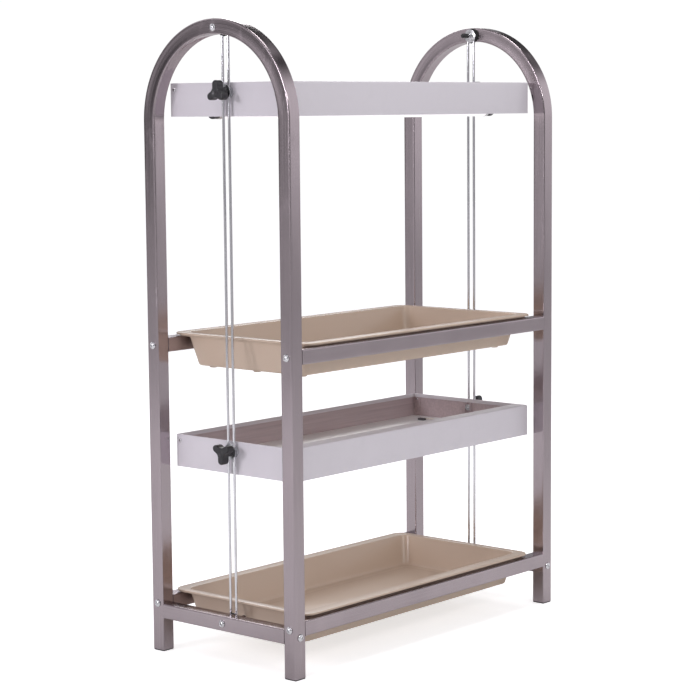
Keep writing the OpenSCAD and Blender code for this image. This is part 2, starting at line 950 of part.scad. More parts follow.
translate([-frame_x, 0, 0]) end_frame();  // end_frame_left
translate([frame_x, 0, 0]) end_frame();  // end_frame_right
long_rail(-1, mid_rail_z);  // mid_rail_front
long_rail(1, mid_rail_z);  // mid_rail_back
long_rail(-1, low_rail_z);  // low_rail_front
long_rail(1, low_rail_z);  // low_rail_back
end_rail(-1);  // end_rail_left
end_rail(1);  // end_rail_right
foot_caps();
rail_plugs();
end_rail_plugs();
rail_bolts();
end_rail_bolts();
guide_rods(-1);  // guide_rods_left
guide_rods(1);  // guide_rods_right
rod_bolts();
rod_pads();
cup_washers();
rod_nuts();
thread_caps();

translate([0, 0, upper_z]) housing();  // upper_housing
translate([0, 0, upper_z]) reflector();  // upper_reflector
translate([0, 0, upper_z]) wireway_cover();  // upper_wireway_cover
translate([0, 0, upper_z]) ballast();  // upper_ballast
translate([0, 0, upper_z]) lampholders();  // upper_lampholders
translate([0, 0, upper_z]) lamp_leads();  // upper_lamp_leads
translate([0, 0, upper_z]) lamp(-1);  // upper_lamp_front
translate([0, 0, upper_z]) lamp(1);  // upper_lamp_back
translate([0, 0, upper_z]) rivets();  // upper_rivets
translate([0, 0, upper_z]) spacers();  // upper_spacers
translate([0, 0, upper_z]) clamp_nuts();  // upper_clamp_nuts
translate([0, 0, upper_z]) cord_gland();  // upper_cord_gland

translate([0, 0, lower_z]) housing();  // lower_housing
translate([0, 0, lower_z]) reflector();  // lower_reflector
translate([0, 0, lower_z]) wireway_cover();  // lower_wireway_cover
translate([0, 0, lower_z]) ballast();  // lower_ballast
translate([0, 0, lower_z]) lampholders();  // lower_lampholders
translate([0, 0, lower_z]) lamp_leads();  // lower_lamp_leads
translate([0, 0, lower_z]) lamp(-1);  // lower_lamp_front
translate([0, 0, lower_z]) lamp(1);  // lower_lamp_back
translate([0, 0, lower_z]) rivets();  // lower_rivets
translate([0, 0, lower_z]) spacers();  // lower_spacers
translate([0, 0, lower_z]) clamp_nuts();  // lower_clamp_nuts
translate([0, 0, lower_z]) cord_gland();  // lower_cord_gland

clamp_washer(-1, upper_z + clamp_z);  // upper_left_washer
clamp_stud(-1, upper_z + clamp_z);  // upper_left_stud
knob(-1, upper_z + clamp_z, 0);  // upper_left_knob
clamp_washer(1, upper_z + clamp_z);  // upper_right_washer
clamp_stud(1, upper_z + clamp_z);  // upper_right_stud
knob(1, upper_z + clamp_z, 0);  // upper_right_knob
clamp_washer(-1, lower_z + clamp_z);  // lower_left_washer
clamp_stud(-1, lower_z + clamp_z);  // lower_left_stud
knob(-1, lower_z + clamp_z, 60);  // lower_left_knob
clamp_washer(1, lower_z + clamp_z);  // lower_right_washer
clamp_stud(1, lower_z + clamp_z);  // lower_right_stud
knob(1, lower_z + clamp_z, 0);  // lower_right_knob

translate([0, 0, mid_tray_z]) tray();  // upper_tray
translate([-low_tray_shift, 0, low_tray_z]) tray();  // lower_tray
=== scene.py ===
"""Looks of a two-tier light stand for indoor plants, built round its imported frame.

Two arched end frames of brushed square tube carry four long rails. Each tier has a moulded tray on
its rails and a folded sheet-metal lamp fixture above it, clamped to a pair of plated guide rods at
each end. Every new piece is a surface worked out with numpy: an outline carried along a path, a
profile turned about an axis, or a row of contours that change from one to the next.
All sizes are in metres, X along the stand, Y from front to back, Z up.
"""

import json
import logging
from collections.abc import Mapping, Sequence
from dataclasses import dataclass, field
from enum import Enum

import bmesh
import bpy
import numpy as np
from mathutils import Matrix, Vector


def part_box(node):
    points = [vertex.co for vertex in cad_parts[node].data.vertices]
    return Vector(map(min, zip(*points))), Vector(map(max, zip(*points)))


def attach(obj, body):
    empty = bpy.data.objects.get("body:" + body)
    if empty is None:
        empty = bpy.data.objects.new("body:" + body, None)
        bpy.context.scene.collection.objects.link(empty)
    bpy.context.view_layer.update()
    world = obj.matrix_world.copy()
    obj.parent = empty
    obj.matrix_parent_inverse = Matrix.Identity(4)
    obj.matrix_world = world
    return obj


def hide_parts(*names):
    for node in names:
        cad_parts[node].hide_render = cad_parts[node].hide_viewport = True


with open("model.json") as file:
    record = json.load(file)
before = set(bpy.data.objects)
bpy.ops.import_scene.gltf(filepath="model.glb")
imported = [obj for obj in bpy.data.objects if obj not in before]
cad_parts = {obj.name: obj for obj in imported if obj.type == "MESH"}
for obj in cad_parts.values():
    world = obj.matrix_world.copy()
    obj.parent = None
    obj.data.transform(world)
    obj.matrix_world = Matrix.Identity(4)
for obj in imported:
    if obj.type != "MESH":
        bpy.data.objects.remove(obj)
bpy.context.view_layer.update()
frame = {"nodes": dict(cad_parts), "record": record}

Array = np.ndarray
LOG = logging.getLogger("light_stand")
MM = 0.001
X_AXIS = np.array([1.0, 0.0, 0.0])
Y_AXIS = np.array([0.0, 1.0, 0.0])
Z_AXIS = np.array([0.0, 0.0, 1.0])


class Tier(Enum):
    """The two storeys of the stand, by the first word of their node names."""

    UPPER = "upper"
    LOWER = "lower"


class End(Enum):
    """The two ends of the stand: the value is the sign of X there."""

    LEFT = -1
    RIGHT = 1

    @property
    def word(self) -> str:
        """The end's name as it stands in node names."""
        return self.name.lower()


# ---- outlines and surfaces ----


def unit(vectors: Array) -> Array:
    """Vectors scaled to length one, along the last axis."""
    return vectors / np.linalg.norm(vectors, axis=-1, keepdims=True)


def filleted(corners: Array, radii: float | Sequence[float], steps: int = 5, closed: bool = False) -> Array:
    """Rounds the corners of a path, in a space of any dimension.

    At each corner the arc's centre lies on the bisector of the two sides, at radius / sin(half the
    angle). The arc runs between the two tangent points by spherical interpolation about that centre.

    Args:
        corners: Corner points, one a row.
        radii: One radius for all corners, or one for each corner that is rounded.
        steps: Segments in each arc.
        closed: True when the last corner joins the first, and every corner is rounded.

    Returns:
        The rounded path, one point a row, with its two end points kept when it is open.
    """
    corners = np.asarray(corners, float)
    here = corners if closed else corners[1:-1]
    before = unit((np.roll(corners, 1, axis=0) if closed else corners[:-2]) - here)
    after = unit((np.roll(corners, -1, axis=0) if closed else corners[2:]) - here)
    radius = np.broadcast_to(np.asarray(radii, float), here.shape[:1])[:, None]
    half = 0.5 * np.arccos(np.clip((before * after).sum(axis=1, keepdims=True), -1.0, 1.0))
    centre = here + unit(before + after) * radius / np.sin(half)
    reach = radius / np.tan(half)
    first, last = here + before * reach - centre, here + after * reach - centre
    sweep = (np.pi - 2 * half)[:, None]
    part = np.linspace(0, 1, steps + 1)[None, :, None]
    arc = (np.sin((1 - part) * sweep) * first[:, None]
           + np.sin(part * sweep) * last[:, None]) / np.sin(sweep)
    path = (centre[:, None] + arc).reshape(-1, corners.shape[1])
    return path if closed else np.concatenate([corners[:1], path, corners[-1:]])


def rounded_rectangle(half_x: Array, half_y: Array, radius: Array, arc: int = 6, side: int = 1) -> Array:
    """Outlines of rectangles with rounded corners.

    Each corner is a quarter circle about (half_x - radius, half_y - radius), mirrored into its
    quadrant, and each side is a straight line cut into equal parts.

    Args:
        half_x, half_y, radius: Half sizes and corner radius, as numbers or as arrays of one length.
        arc: Segments in each quarter circle.
        side: Segments in each straight side.

    Returns:
        Points with x and y on the last axis, anticlockwise, one outline for each entry of half_x.
    """
    half_x, half_y, radius = (np.atleast_1d(np.asarray(v, float))[:, None, None]
                              for v in (half_x, half_y, radius))
    quadrant = np.arange(4)[None, :, None]
    angle = quadrant * np.pi / 2 + np.linspace(0, np.pi / 2, arc + 1)[None, None, :]
    diagonal = (quadrant + 0.5) * np.pi / 2
    sign_x, sign_y = np.sign(np.cos(diagonal)), np.sign(np.sin(diagonal))
    arcs = np.stack([sign_x * (half_x - radius) + radius * np.cos(angle),
                     sign_y * (half_y - radius) + radius * np.sin(angle)], axis=-1)
    part = (np.arange(1, side) / side)[None, None, :, None]
    sides = arcs[:, :, -1:] * (1 - part) + np.roll(arcs[:, :, :1], -1, axis=1) * part
    outline = np.concatenate([arcs, sides], axis=2).reshape(arcs.shape[0], -1, 2)
    return outline[0] if outline.shape[0] == 1 else outline


def carried(outline: Array, centres: Array, sides: Array, ups: Array) -> Array:
    """An outline carried along a path: each point is centre + x times side + y times up.

    Args:
        outline: Points (n, 2), or (stations, n, 2) when the outline changes along the path.
        centres, sides, ups: One vector for each station, or one vector for all.

    Returns:
        Points (stations, n, 3).
    """
    centres, sides, ups = (np.atleast_2d(np.asarray(v, float))[:, None] for v in (centres, sides, ups))
    return centres + outline[..., 0:1] * sides + outline[..., 1:2] * ups


def turned(profile: Array, count: int = 48) -> Array:
    """A profile turned about Z: (r cos t, r sin t, h) for each point r, h and each angle t.

    Args:
        profile: Points (n, 2) of radius and height.
        count: Segments round the axis.

    Returns:
        Points (n, count, 3).
    """
    t = np.arange(count) * 2 * np.pi / count
    r, h = profile[:, :1], profile[:, 1:]
    return np.stack([r * np.cos(t), r * np.sin(t), h + 0 * t], axis=-1)


def stood(points: Array, origin: Sequence[float], axis: Array, first: Array | None = None) -> Array:
    """Turns points built along +Z so that +Z lies along an axis, and sets them at an origin.

    Args:
        points: Points with x, y and z on the last axis.
        origin: Where their own origin goes.
        axis: Where their +Z points.
        first: Where their +X points, made square to the axis. Straight up when it is left out.

    Returns:
        The points in the stand's frame.
    """
    w = unit(np.asarray(axis, float))
    first = (X_AXIS if abs(w[2]) > 0.9 else Z_AXIS) if first is None else np.asarray(first, float)
    u = unit(first - w * (first @ w))
    return np.asarray(origin, float) + points @ np.stack([u, np.cross(w, u), w])


@dataclass
class Patch:
    """One grid of points with the way it closes.

    Attributes:
        points: Grid (rows, columns, 3).
        wrap_rows: The last row joins the first.
        wrap_columns: The last column joins the first.
        caps: Close the first and the last row with a flat face each.
        zone: Which of a finish's two tones each point takes, 0 to 1, for finishes that read it. On a sheet
            these are its painted and bare sides; on a tray they are painted light and painted shade.
    """

    points: Array
    wrap_rows: bool = False
    wrap_columns: bool = True
    caps: tuple[bool, bool] = (False, False)
    zone: Array | None = None

    def corners(self) -> tuple[Array, Array]:
        """Row and column number of every face's four corners, unwrapped, each (faces, 4)."""
        rows, columns = self.points.shape[:2]
        i, j = np.meshgrid(np.arange(rows if self.wrap_rows else rows - 1),
                           np.arange(columns if self.wrap_columns else columns - 1), indexing="ij")
        i, j = i.reshape(-1, 1), j.reshape(-1, 1)
        return i + np.array([[0, 0, 1, 1]]), j + np.array([[0, 1, 1, 0]])

    def faces(self, first: int) -> list[list[int]]:
        """Vertex numbers of the faces, counted from the number of this patch's first point."""
        rows, columns = self.points.shape[:2]
        i, j = self.corners()
        found = (first + (i % rows) * columns + j % columns).tolist()
        if self.caps[0]:
            found.append((first + np.arange(columns)[::-1]).tolist())
        if self.caps[1]:
            found.append((first + (rows - 1) * columns + np.arange(columns)).tolist())
        return found

    def distances(self) -> Array:
        """Distance down the rows and round the columns at each face corner, for the UV map.

        Both are running sums of the steps between neighbours, averaged over the other direction.
        """
        down = np.linalg.norm(np.diff(self.points, axis=0, append=self.points[:1]), axis=2).mean(axis=1)
        round_ = np.linalg.norm(np.diff(self.points, axis=1, append=self.points[:, :1]), axis=2).mean(axis=0)
        i, j = self.corners()
        u = np.concatenate([[0], np.cumsum(down)])[i]
        v = np.concatenate([[0], np.cumsum(round_)])[j]
        flat = np.stack([u, v], axis=-1).reshape(-1, 2)
        spare = sum(self.caps) * self.points.shape[1]
        return np.concatenate([flat, np.zeros((spare, 2))])

    def face_zones(self) -> Array:
        """Tone of every face: the lowest mark among its points, so an edge face takes tone 0."""
        marks = np.zeros(self.points.shape[:2]) if self.zone is None else self.zone
        rows, columns = marks.shape
        i, j = self.corners()
        ends = [marks[row].min() for row, cap in zip((0, -1), self.caps) if cap]
        return np.concatenate([marks[i % rows, j % columns].min(axis=1), ends])


def solid(outline: Array, centres: Array, sides: Array, ups: Array) -> Patch:
    """An outline carried along a path and closed flat at both ends."""
    return Patch(carried(outline, centres, sides, ups), caps=(True, True))


def ring(profile: Array, count: int = 48) -> Patch:
    """A closed profile turned about Z, as a washer is."""
    return Patch(turned(profile, count), wrap_rows=True)


def knob_of_revolution(profile: Array, count: int = 48) -> Patch:
    """An open profile turned about Z, with each end on the axis, as a dome is."""
    return Patch(turned(profile, count))


def moved(patch: Patch, origin: Sequence[float], axis: Array, first: Array | None = None) -> Patch:
    """A copy of a patch stood on an origin along an axis, as stood() does."""
    return Patch(stood(patch.points, origin, axis, first), patch.wrap_rows, patch.wrap_columns,
                 patch.caps, patch.zone)


def sheet_section(path: Array, thickness: float) -> Array:
    """Closed outline of a bent sheet: its middle line set off by half its thickness to both sides.

    Args:
        path: Middle line (n, 2), with its bends already rounded.
        thickness: Thickness of the sheet.

    Returns:
        Outline (2 n, 2), up one face and back down the other.
    """
    along = unit(np.gradient(path, axis=0))
    across = np.stack([-along[:, 1], along[:, 0]], axis=1) * thickness / 2
    return np.concatenate([path + across, (path - across)[::-1]])


def mesh_of(name: str, patches: Sequence[Patch], crease_deg: float) -> bpy.types.Mesh:
    """Joins patches into one mesh whose faces point outwards, with a UV map in metres.

    Args:
        name: Name of the mesh.
        patches: The grids that make the piece.
        crease_deg: Edges sharper than this stay hard.

    Returns:
        The mesh, with points that coincide merged.
    """
    counts = [p.points.shape[0] * p.points.shape[1] for p in patches]
    firsts = np.concatenate([[0], np.cumsum(counts)[:-1]]).astype(int)
    faces = [face for patch, first in zip(patches, firsts) for face in patch.faces(int(first))]
    mesh = bpy.data.meshes.new(name)
    mesh.from_pydata(np.concatenate([p.points.reshape(-1, 3) for p in patches]).tolist(), [], faces)
    layer = mesh.uv_layers.new(name="metres")
    layer.data.foreach_set("uv", np.concatenate([p.distances() for p in patches]).ravel())
    if any(p.zone is not None for p in patches):
        zone = np.concatenate([p.face_zones() for p in patches])
        mesh.attributes.new("zone", "FLOAT", "FACE").data.foreach_set("value", zone)
    work = bmesh.new()
    work.from_mesh(mesh)
    bmesh.ops.remove_doubles(work, verts=work.verts, dist=0.002 * MM)
    bmesh.ops.recalc_face_normals(work, faces=work.faces)
    work.to_mesh(mesh)
    work.free()
    mesh.shade_smooth()
    mesh.set_sharp_from_angle(angle=np.radians(crease_deg))
    return mesh


# ---- finishes ----


class Graph:
    """A material's nodes, with short ways to add and join them."""

    def __init__(self, material: bpy.types.Material) -> None:
        """Turns the material's nodes on and finds its shader."""
        material.use_nodes = True
        self.tree = material.node_tree
        self.shader = self.tree.nodes["Principled BSDF"]

    def add(self, kind: str, inputs: Mapping[str | int, object], **settings: object) -> bpy.types.Node:
        """Adds a node.

        Args:
            kind: Blender's name for the node type.
            inputs: Socket name or number to a value, or to the output socket that feeds it.
            settings: The node's own properties.

        Returns:
            The node.
        """
        node = self.tree.nodes.new(kind)
        for key, value in settings.items():
            setattr(node, key, value)
        for key, value in inputs.items():
            self.feed(node.inputs[key], value)
        return node

    def feed(self, socket: bpy.types.NodeSocket, value: object) -> None:
        """Sets an input socket to a value, or joins it to an output socket."""
        if isinstance(value, bpy.types.NodeSocket):
            self.tree.links.new(value, socket)
        else:
            socket.default_value = value

    def place(self, stretch: Sequence[float] = (1, 1, 1), uv: bool = False) -> bpy.types.NodeSocket:
        """Coordinates in metres, on the object or along its UV map, scaled on each axis."""
        source = self.add("ShaderNodeTexCoord", {}).outputs["UV" if uv else "Object"]
        return self.add("ShaderNodeMapping", {"Vector": source, "Scale": tuple(stretch)}).outputs["Vector"]

    def zone(self) -> bpy.types.NodeSocket:
        """The mesh's zone attribute, 0 to 1."""
        return self.add("ShaderNodeAttribute", {}, attribute_name="zone").outputs["Fac"]

    def noise(self, where: bpy.types.NodeSocket, scale: float, detail: float = 3,
              rough: float = 0.55) -> bpy.types.NodeSocket:
        """Fractal noise, about 0.5 in the middle."""
        return self.add("ShaderNodeTexNoise", {"Vector": where, "Scale": scale, "Detail": detail,
                                               "Roughness": rough}).outputs["Fac"]

    def spread(self, value: bpy.types.NodeSocket, low: float, high: float, start: float = 0.3,
               stop: float = 0.7) -> bpy.types.NodeSocket:
        """Maps start to stop onto low to high, without going past either."""
        return self.add("ShaderNodeMapRange", {"Value": value, "From Min": start, "From Max": stop,
                                               "To Min": low, "To Max": high}).outputs["Result"]

    def colour(self, factor: bpy.types.NodeSocket, first: object, second: object) -> bpy.types.NodeSocket:
        """Mixes two colours by a factor from 0 to 1; each is three numbers or a colour socket."""
        node = self.add("ShaderNodeMix", {"Factor": factor}, data_type="RGBA")
        for socket, value in (("A", first), ("B", second)):
            self.feed(node.inputs[socket], value if isinstance(value, bpy.types.NodeSocket) else (*value, 1))
        return node.outputs["Result"]

    def relief(self, height: bpy.types.NodeSocket, distance: float, strength: float,
               under: bpy.types.NodeSocket | None = None) -> bpy.types.NodeSocket:
        """A normal from a height from 0 to 1, that deep in metres, over an earlier normal."""
        inputs: dict[str, object] = {"Height": height, "Distance": distance, "Strength": strength}
        if under is not None:
            inputs["Normal"] = under
        return self.add("ShaderNodeBump", inputs).outputs["Normal"]

    def surface(self, **inputs: object) -> None:
        """Feeds the shader's sockets, named with underscores for spaces."""
        for key, value in inputs.items():
            self.feed(self.shader.inputs[key.replace("_", " ")], value)


def shade(colour: Sequence[float], factor: float) -> tuple[float, ...]:
    """A colour times a factor, kept within 0 to 1."""
    return tuple(float(min(1.0, c * factor)) for c in colour)


@dataclass(frozen=True)
class Finish:
    """A surface finish: its name, the record's slot that it belongs to and its main colour."""

    name: str
    slot: str
    colour: tuple[float, float, float]

    def material(self) -> bpy.types.Material:
        """The finish as a material, made once."""
        found = bpy.data.materials.get(self.name)
        if found is None:
            found = bpy.data.materials.new(self.name)
            found.diffuse_color = (*self.colour, 1)
            self.paint(Graph(found))
        return found

    def paint(self, graph: Graph) -> None:
        """Adds the finish's own nodes."""
        raise NotImplementedError


@dataclass(frozen=True)
class BrushedTube(Finish):
    """Stainless tube polished along its length: fine streaks, cloudy patches and a few handling marks.

    The UV map runs in metres, first along the tube and then round it, so the streaks follow bends.
    """

    rough: float = 0.18

    def paint(self, graph: Graph) -> None:
        """Streaks are noise stretched 60 times along the tube; patches are noise on the object."""
        streaks = graph.noise(graph.place((5, 700, 1), uv=True), 1.0, 4, 0.55)
        hairs = graph.noise(graph.place((30, 3000, 1), uv=True), 1.0, 2, 0.5)
        patches = graph.noise(graph.place((7, 7, 3)), 1.0, 3, 0.6)
        marks = graph.noise(graph.place((45, 45, 16)), 1.0, 5, 0.7)
        tone = graph.colour(graph.spread(patches, 0, 1), shade(self.colour, 0.86), shade(self.colour, 1.08))
        tone = graph.colour(graph.spread(streaks, 0, 0.7), tone, shade(self.colour, 1.16))
        sheen = graph.spread(streaks, self.rough - 0.05, self.rough + 0.06)
        smear = graph.spread(marks, 0, 0.10, 0.54, 0.74)
        rough = graph.add("ShaderNodeMath", {0: sheen, 1: smear}, operation="ADD").outputs[0]
        lines = graph.relief(hairs, 0.012 * MM, 0.30)
        graph.surface(Base_Color=tone, Metallic=1.0, Roughness=rough, Normal=lines, Anisotropic=0.35)


@dataclass(frozen=True)
class Plated(Finish):
    """Bright plating on a turned or drawn part: nearly a mirror, with wiping marks and a faint haze."""

    rough: float = 0.09

    def paint(self, graph: Graph) -> None:
        """Haze is coarse noise in the roughness; wiping marks are fine noise stretched on Z."""
        haze = graph.noise(graph.place((70, 70, 30)), 1.0, 4, 0.6)
        wipes = graph.noise(graph.place((1600, 1600, 60)), 1.0, 2)
        tone = graph.colour(graph.spread(haze, 0, 1), shade(self.colour, 0.86), self.colour)
        graph.surface(Base_Color=tone, Metallic=1.0,
                      Roughness=graph.spread(haze, self.rough * 0.6, self.rough * 2.0),
                      Normal=graph.relief(wipes, 0.01 * MM, 0.25))


@dataclass(frozen=True)
class PowderCoat(Finish):
    """Baked powder paint: a soft orange-peel surface with a low gloss and slight uneven shade."""

    rough: float = 0.36
    peel: float = 0.35
    warm: float = 0.97

    def paint(self, graph: Graph) -> None:
        """The peel is noise about two millimetres across; the shade drifts over a hand's width."""
        peel = graph.noise(graph.place(), 520, 2, 0.45)
        grain = graph.noise(graph.place(), 2400, 2, 0.5)
        drift = graph.noise(graph.place((5, 5, 5)), 1.0, 2)
        dust = graph.noise(graph.place((26, 26, 26)), 1.0, 5, 0.65)
        warm = (self.colour[0], self.colour[1] * self.warm, self.colour[2] * self.warm)
        tone = graph.colour(graph.spread(drift, 0, 1), shade(self.colour, 0.965), warm)
        tone = graph.colour(graph.spread(dust, 0, 0.20, 0.50, 0.75), tone, shade(self.colour, 0.90))
        normal = graph.relief(peel, 0.09 * MM, self.peel)
        graph.surface(Base_Color=tone, Coat_Weight=0.18, Coat_Roughness=0.22,
                      Roughness=graph.spread(dust, self.rough - 0.05, self.rough + 0.08),
                      Normal=graph.relief(grain, 0.01 * MM, 0.2, normal))


@dataclass(frozen=True)
class PaintedSheet(Finish):
    """Sheet metal with powder paint on its outer side and a dark, thin primer on its inner side."""

    bare_colour: tuple[float, float, float] = (0.52, 0.42, 0.435)
    rough: float = 0.34
    bare_rough: float = 0.27

    def paint(self, graph: Graph) -> None:
        """The zone attribute picks the side; peel and grain are fine noise, dust drifts over a hand."""
        side = graph.spread(graph.zone(), 0, 1, 0.45, 0.55)
        peel = graph.noise(graph.place(), 520, 2, 0.45)
        drift = graph.noise(graph.place((5, 5, 5)), 1.0, 2)
        dust = graph.noise(graph.place((26, 26, 26)), 1.0, 5, 0.65)
        rolled = graph.noise(graph.place((7, 240, 240)), 1.0, 3, 0.6)
        paint = graph.colour(graph.spread(drift, 0, 1), shade(self.colour, 0.97), self.colour)
        primer = graph.colour(graph.spread(rolled, 0, 1), shade(self.bare_colour, 0.88),
                              shade(self.bare_colour, 1.10))
        tone = graph.colour(side, paint, primer)
        tone = graph.colour(graph.spread(dust, 0, 0.16, 0.50, 0.75), tone, shade(self.colour, 0.80))
        blend = graph.add("ShaderNodeMix", {"Factor": side, "A": self.rough, "B": self.bare_rough})
        graph.surface(Base_Color=tone, Roughness=blend.outputs["Result"],
                      Coat_Weight=0.2, Coat_Roughness=0.2, Normal=graph.relief(peel, 0.07 * MM, 0.25))


@dataclass(frozen=True)
class TrayPlastic(Finish):
    """Vacuum-formed tray: smooth and slightly glossy, with painted light: a lighter lit tone on the lip and
    inside the tub, and a darker painted shade down the outside of the tub.
    """

    # The lighter lip tone is painted light: the tray's top and inside shown as lit.
    lip_colour: tuple[float, float, float] = (0.76, 0.64, 0.46)

    def paint(self, graph: Graph) -> None:
        """The zone attribute blends the tub's darker painted shade with the lip's lighter painted light;
        water marks and scuffs break the gloss.
        """
        # The zone sets how much painted light each face takes; the rest is painted shade.
        lip = graph.zone()
        cloud = graph.noise(graph.place((11, 11, 22)), 1.0, 4, 0.6)
        marks = graph.noise(graph.place((38, 38, 60)), 1.0, 6, 0.7)
        pebble = graph.noise(graph.place(), 1500, 2, 0.5)
        flow = graph.noise(graph.place((6, 6, 90)), 1.0, 2)
        # body is the darker painted shade of the tub, edge the lighter painted light of the lip and the
        # tub's inside.
        body = graph.colour(graph.spread(cloud, 0, 1), shade(self.colour, 0.93), shade(self.colour, 1.05))
        edge = graph.colour(graph.spread(cloud, 0, 1), shade(self.lip_colour, 0.96), self.lip_colour)
        tone = graph.colour(lip, body, edge)
        tone = graph.colour(graph.spread(marks, 0, 0.22, 0.55, 0.75), tone, shade(self.colour, 0.82))
        normal = graph.relief(flow, 0.25 * MM, 0.12)
        graph.surface(Base_Color=tone, Roughness=graph.spread(marks, 0.30, 0.46),
                      Normal=graph.relief(pebble, 0.02 * MM, 0.3, normal), Subsurface_Weight=0.06,
                      Subsurface_Scale=0.004)


@dataclass(frozen=True)
class Moulded(Finish):
    """Injection-moulded plastic or rubber: fine spark texture, paler where hands and edges rub it."""

    rough: float = 0.46
    grain: float = 0.4
    scuff: float = 0.5

    def paint(self, graph: Graph) -> None:
        """The texture is noise under half a millimetre; scuffs are sparse patches of a lighter tone."""
        texture = graph.noise(graph.place(), 2600, 3, 0.6)
        scuffs = graph.noise(graph.place((170, 170, 170)), 1.0, 5, 0.7)
        rub = graph.spread(scuffs, 0, self.scuff, 0.54, 0.78)
        tone = graph.colour(rub, self.colour, tuple(min(1.0, c * 1.8 + 0.012) for c in self.colour))
        graph.surface(Base_Color=tone, Roughness=graph.spread(scuffs, self.rough - 0.06, self.rough + 0.12),
                      Normal=graph.relief(texture, 0.04 * MM, self.grain))


@dataclass(frozen=True)
class LampGlass(Finish):
    """White-coated lamp glass with a faint glow, and the coating a little thin and grey in places."""

    glow: float = 0.6

    def paint(self, graph: Graph) -> None:
        """The coating's tone drifts along the tube; glow is the same all over."""
        drift = graph.noise(graph.place((18, 60, 60)), 1.0, 4, 0.6)
        tone = graph.colour(graph.spread(drift, 0, 1), shade(self.colour, 0.94), self.colour)
        graph.surface(Base_Color=tone, Roughness=graph.spread(drift, 0.10, 0.20), Coat_Weight=0.5,
                      Emission_Color=(1.0, 0.97, 0.99, 1), Emission_Strength=self.glow)


TUBE = BrushedTube("brushed_tube", "tube", (0.41, 0.355, 0.375))
BOLT_PLATE = Plated("bolt_plating", "bolt_chrome", (0.74, 0.74, 0.76), 0.13)
ROD_PLATE = Plated("rod_plating", "rod_chrome", (0.80, 0.80, 0.83), 0.07)
ZINC = Plated("zinc_plating", "spacer_zinc", (0.60, 0.61, 0.63), 0.24)
CAN = Plated("lamp_cap_aluminium", "lamp_tube", (0.70, 0.70, 0.71), 0.28)
ENAMEL = PaintedSheet("fixture_powder_coat", "fixture_enamel", (0.72, 0.685, 0.73))
COVER = PowderCoat("cover_powder_coat", "cover_enamel", (0.70, 0.68, 0.72), 0.40)
REFLECTOR = PaintedSheet("reflector_enamel", "reflector_enamel", (0.86, 0.85, 0.87))
BALLAST = PowderCoat("ballast_paint", "ballast_case", (0.62, 0.61, 0.60), 0.42)
CAP_BLACK = Moulded("cap_black", "cap_plastic", (0.020, 0.020, 0.022), 0.50)
PLUG_GREY = Moulded("plug_grey", "plug_plastic", (0.10, 0.10, 0.11), 0.55)
PAD_RUBBER = Moulded("pad_rubber", "pad_rubber", (0.022, 0.022, 0.022), 0.72, 0.7, 0.3)
HOLDER = Moulded("lampholder_plastic", "holder_plastic", (0.075, 0.072, 0.078), 0.42)
SLEEVE = Moulded("lead_sleeve", "lead_sleeve", (0.66, 0.61, 0.52), 0.34, 0.15, 0.1)
GLAND = Moulded("gland_black", "gland_plastic", (0.025, 0.025, 0.028), 0.48)
GRIP = Moulded("grip_black", "knob_plastic", (0.020, 0.019, 0.022), 0.36, 0.5, 0.6)
GLASS = LampGlass("lamp_glass", "lamp_tube", (0.90, 0.89, 0.92))
TRAY = TrayPlastic("tray_plastic", "tray_plastic", (0.60, 0.43, 0.33))


# ---- pieces ----


def body_of_node(node: str) -> str:
    """Name of the body that a CAD node belongs to."""
    bodies: Mapping[str, Sequence[str]] = frame["record"]["behaviour"]["bodies"]
    return next(body for body, members in bodies.items() if node in members)


def middle(node: str) -> Array:
    """Middle of a CAD node's box."""
    low, high = (np.array(corner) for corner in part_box(node))
    return (low + high) / 2


def dress_node(node: str, finish: Finish) -> None:
    """Gives a CAD node that stays its material."""
    shown = frame["nodes"][node]
    shown.data.materials.clear()
    shown.data.materials.append(finish.material())
    LOG.info("%s keeps its packed shape, in %s", node, finish.name)


def add_piece(name: str, patches: Sequence[Patch], finish: Finish, node: str, crease_deg: float = 35,
              bevel: float = 0.0, stands_in: bool = True) -> bpy.types.Object:
    """Makes one finished piece from its patches and lets it ride with a CAD node's body.

    Args:
        name: Name of the piece.
        patches: The surfaces that make it.
        finish: Its finish.
        node: The CAD node that it stands for or belongs to.
        crease_deg: Edges sharper than this stay hard.
        bevel: Width of the bevel on its hard edges, or 0 for none.
        stands_in: True when the piece replaces the node.

    Returns:
        The piece's object.
    """
    mesh = mesh_of(name, patches, crease_deg)
    mesh.materials.append(finish.material())
    piece = bpy.data.objects.new(name, mesh)
    bpy.context.scene.collection.objects.link(piece)
    if bevel > 0:
        edge = piece.modifiers.new("edge", "BEVEL")
        edge.width = bevel
        edge.segments = 2
        edge.limit_method = "ANGLE"
        edge.angle_limit = np.radians(40)
        edge.harden_normals = True
    body = body_of_node(node)
    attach(piece, body)
    if stands_in:
        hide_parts(node)
    LOG.info("%s: %d faces, in %s, rides on %s", name, len(mesh.polygons), finish.name, body)
    return piece


# ---- small hardware ----


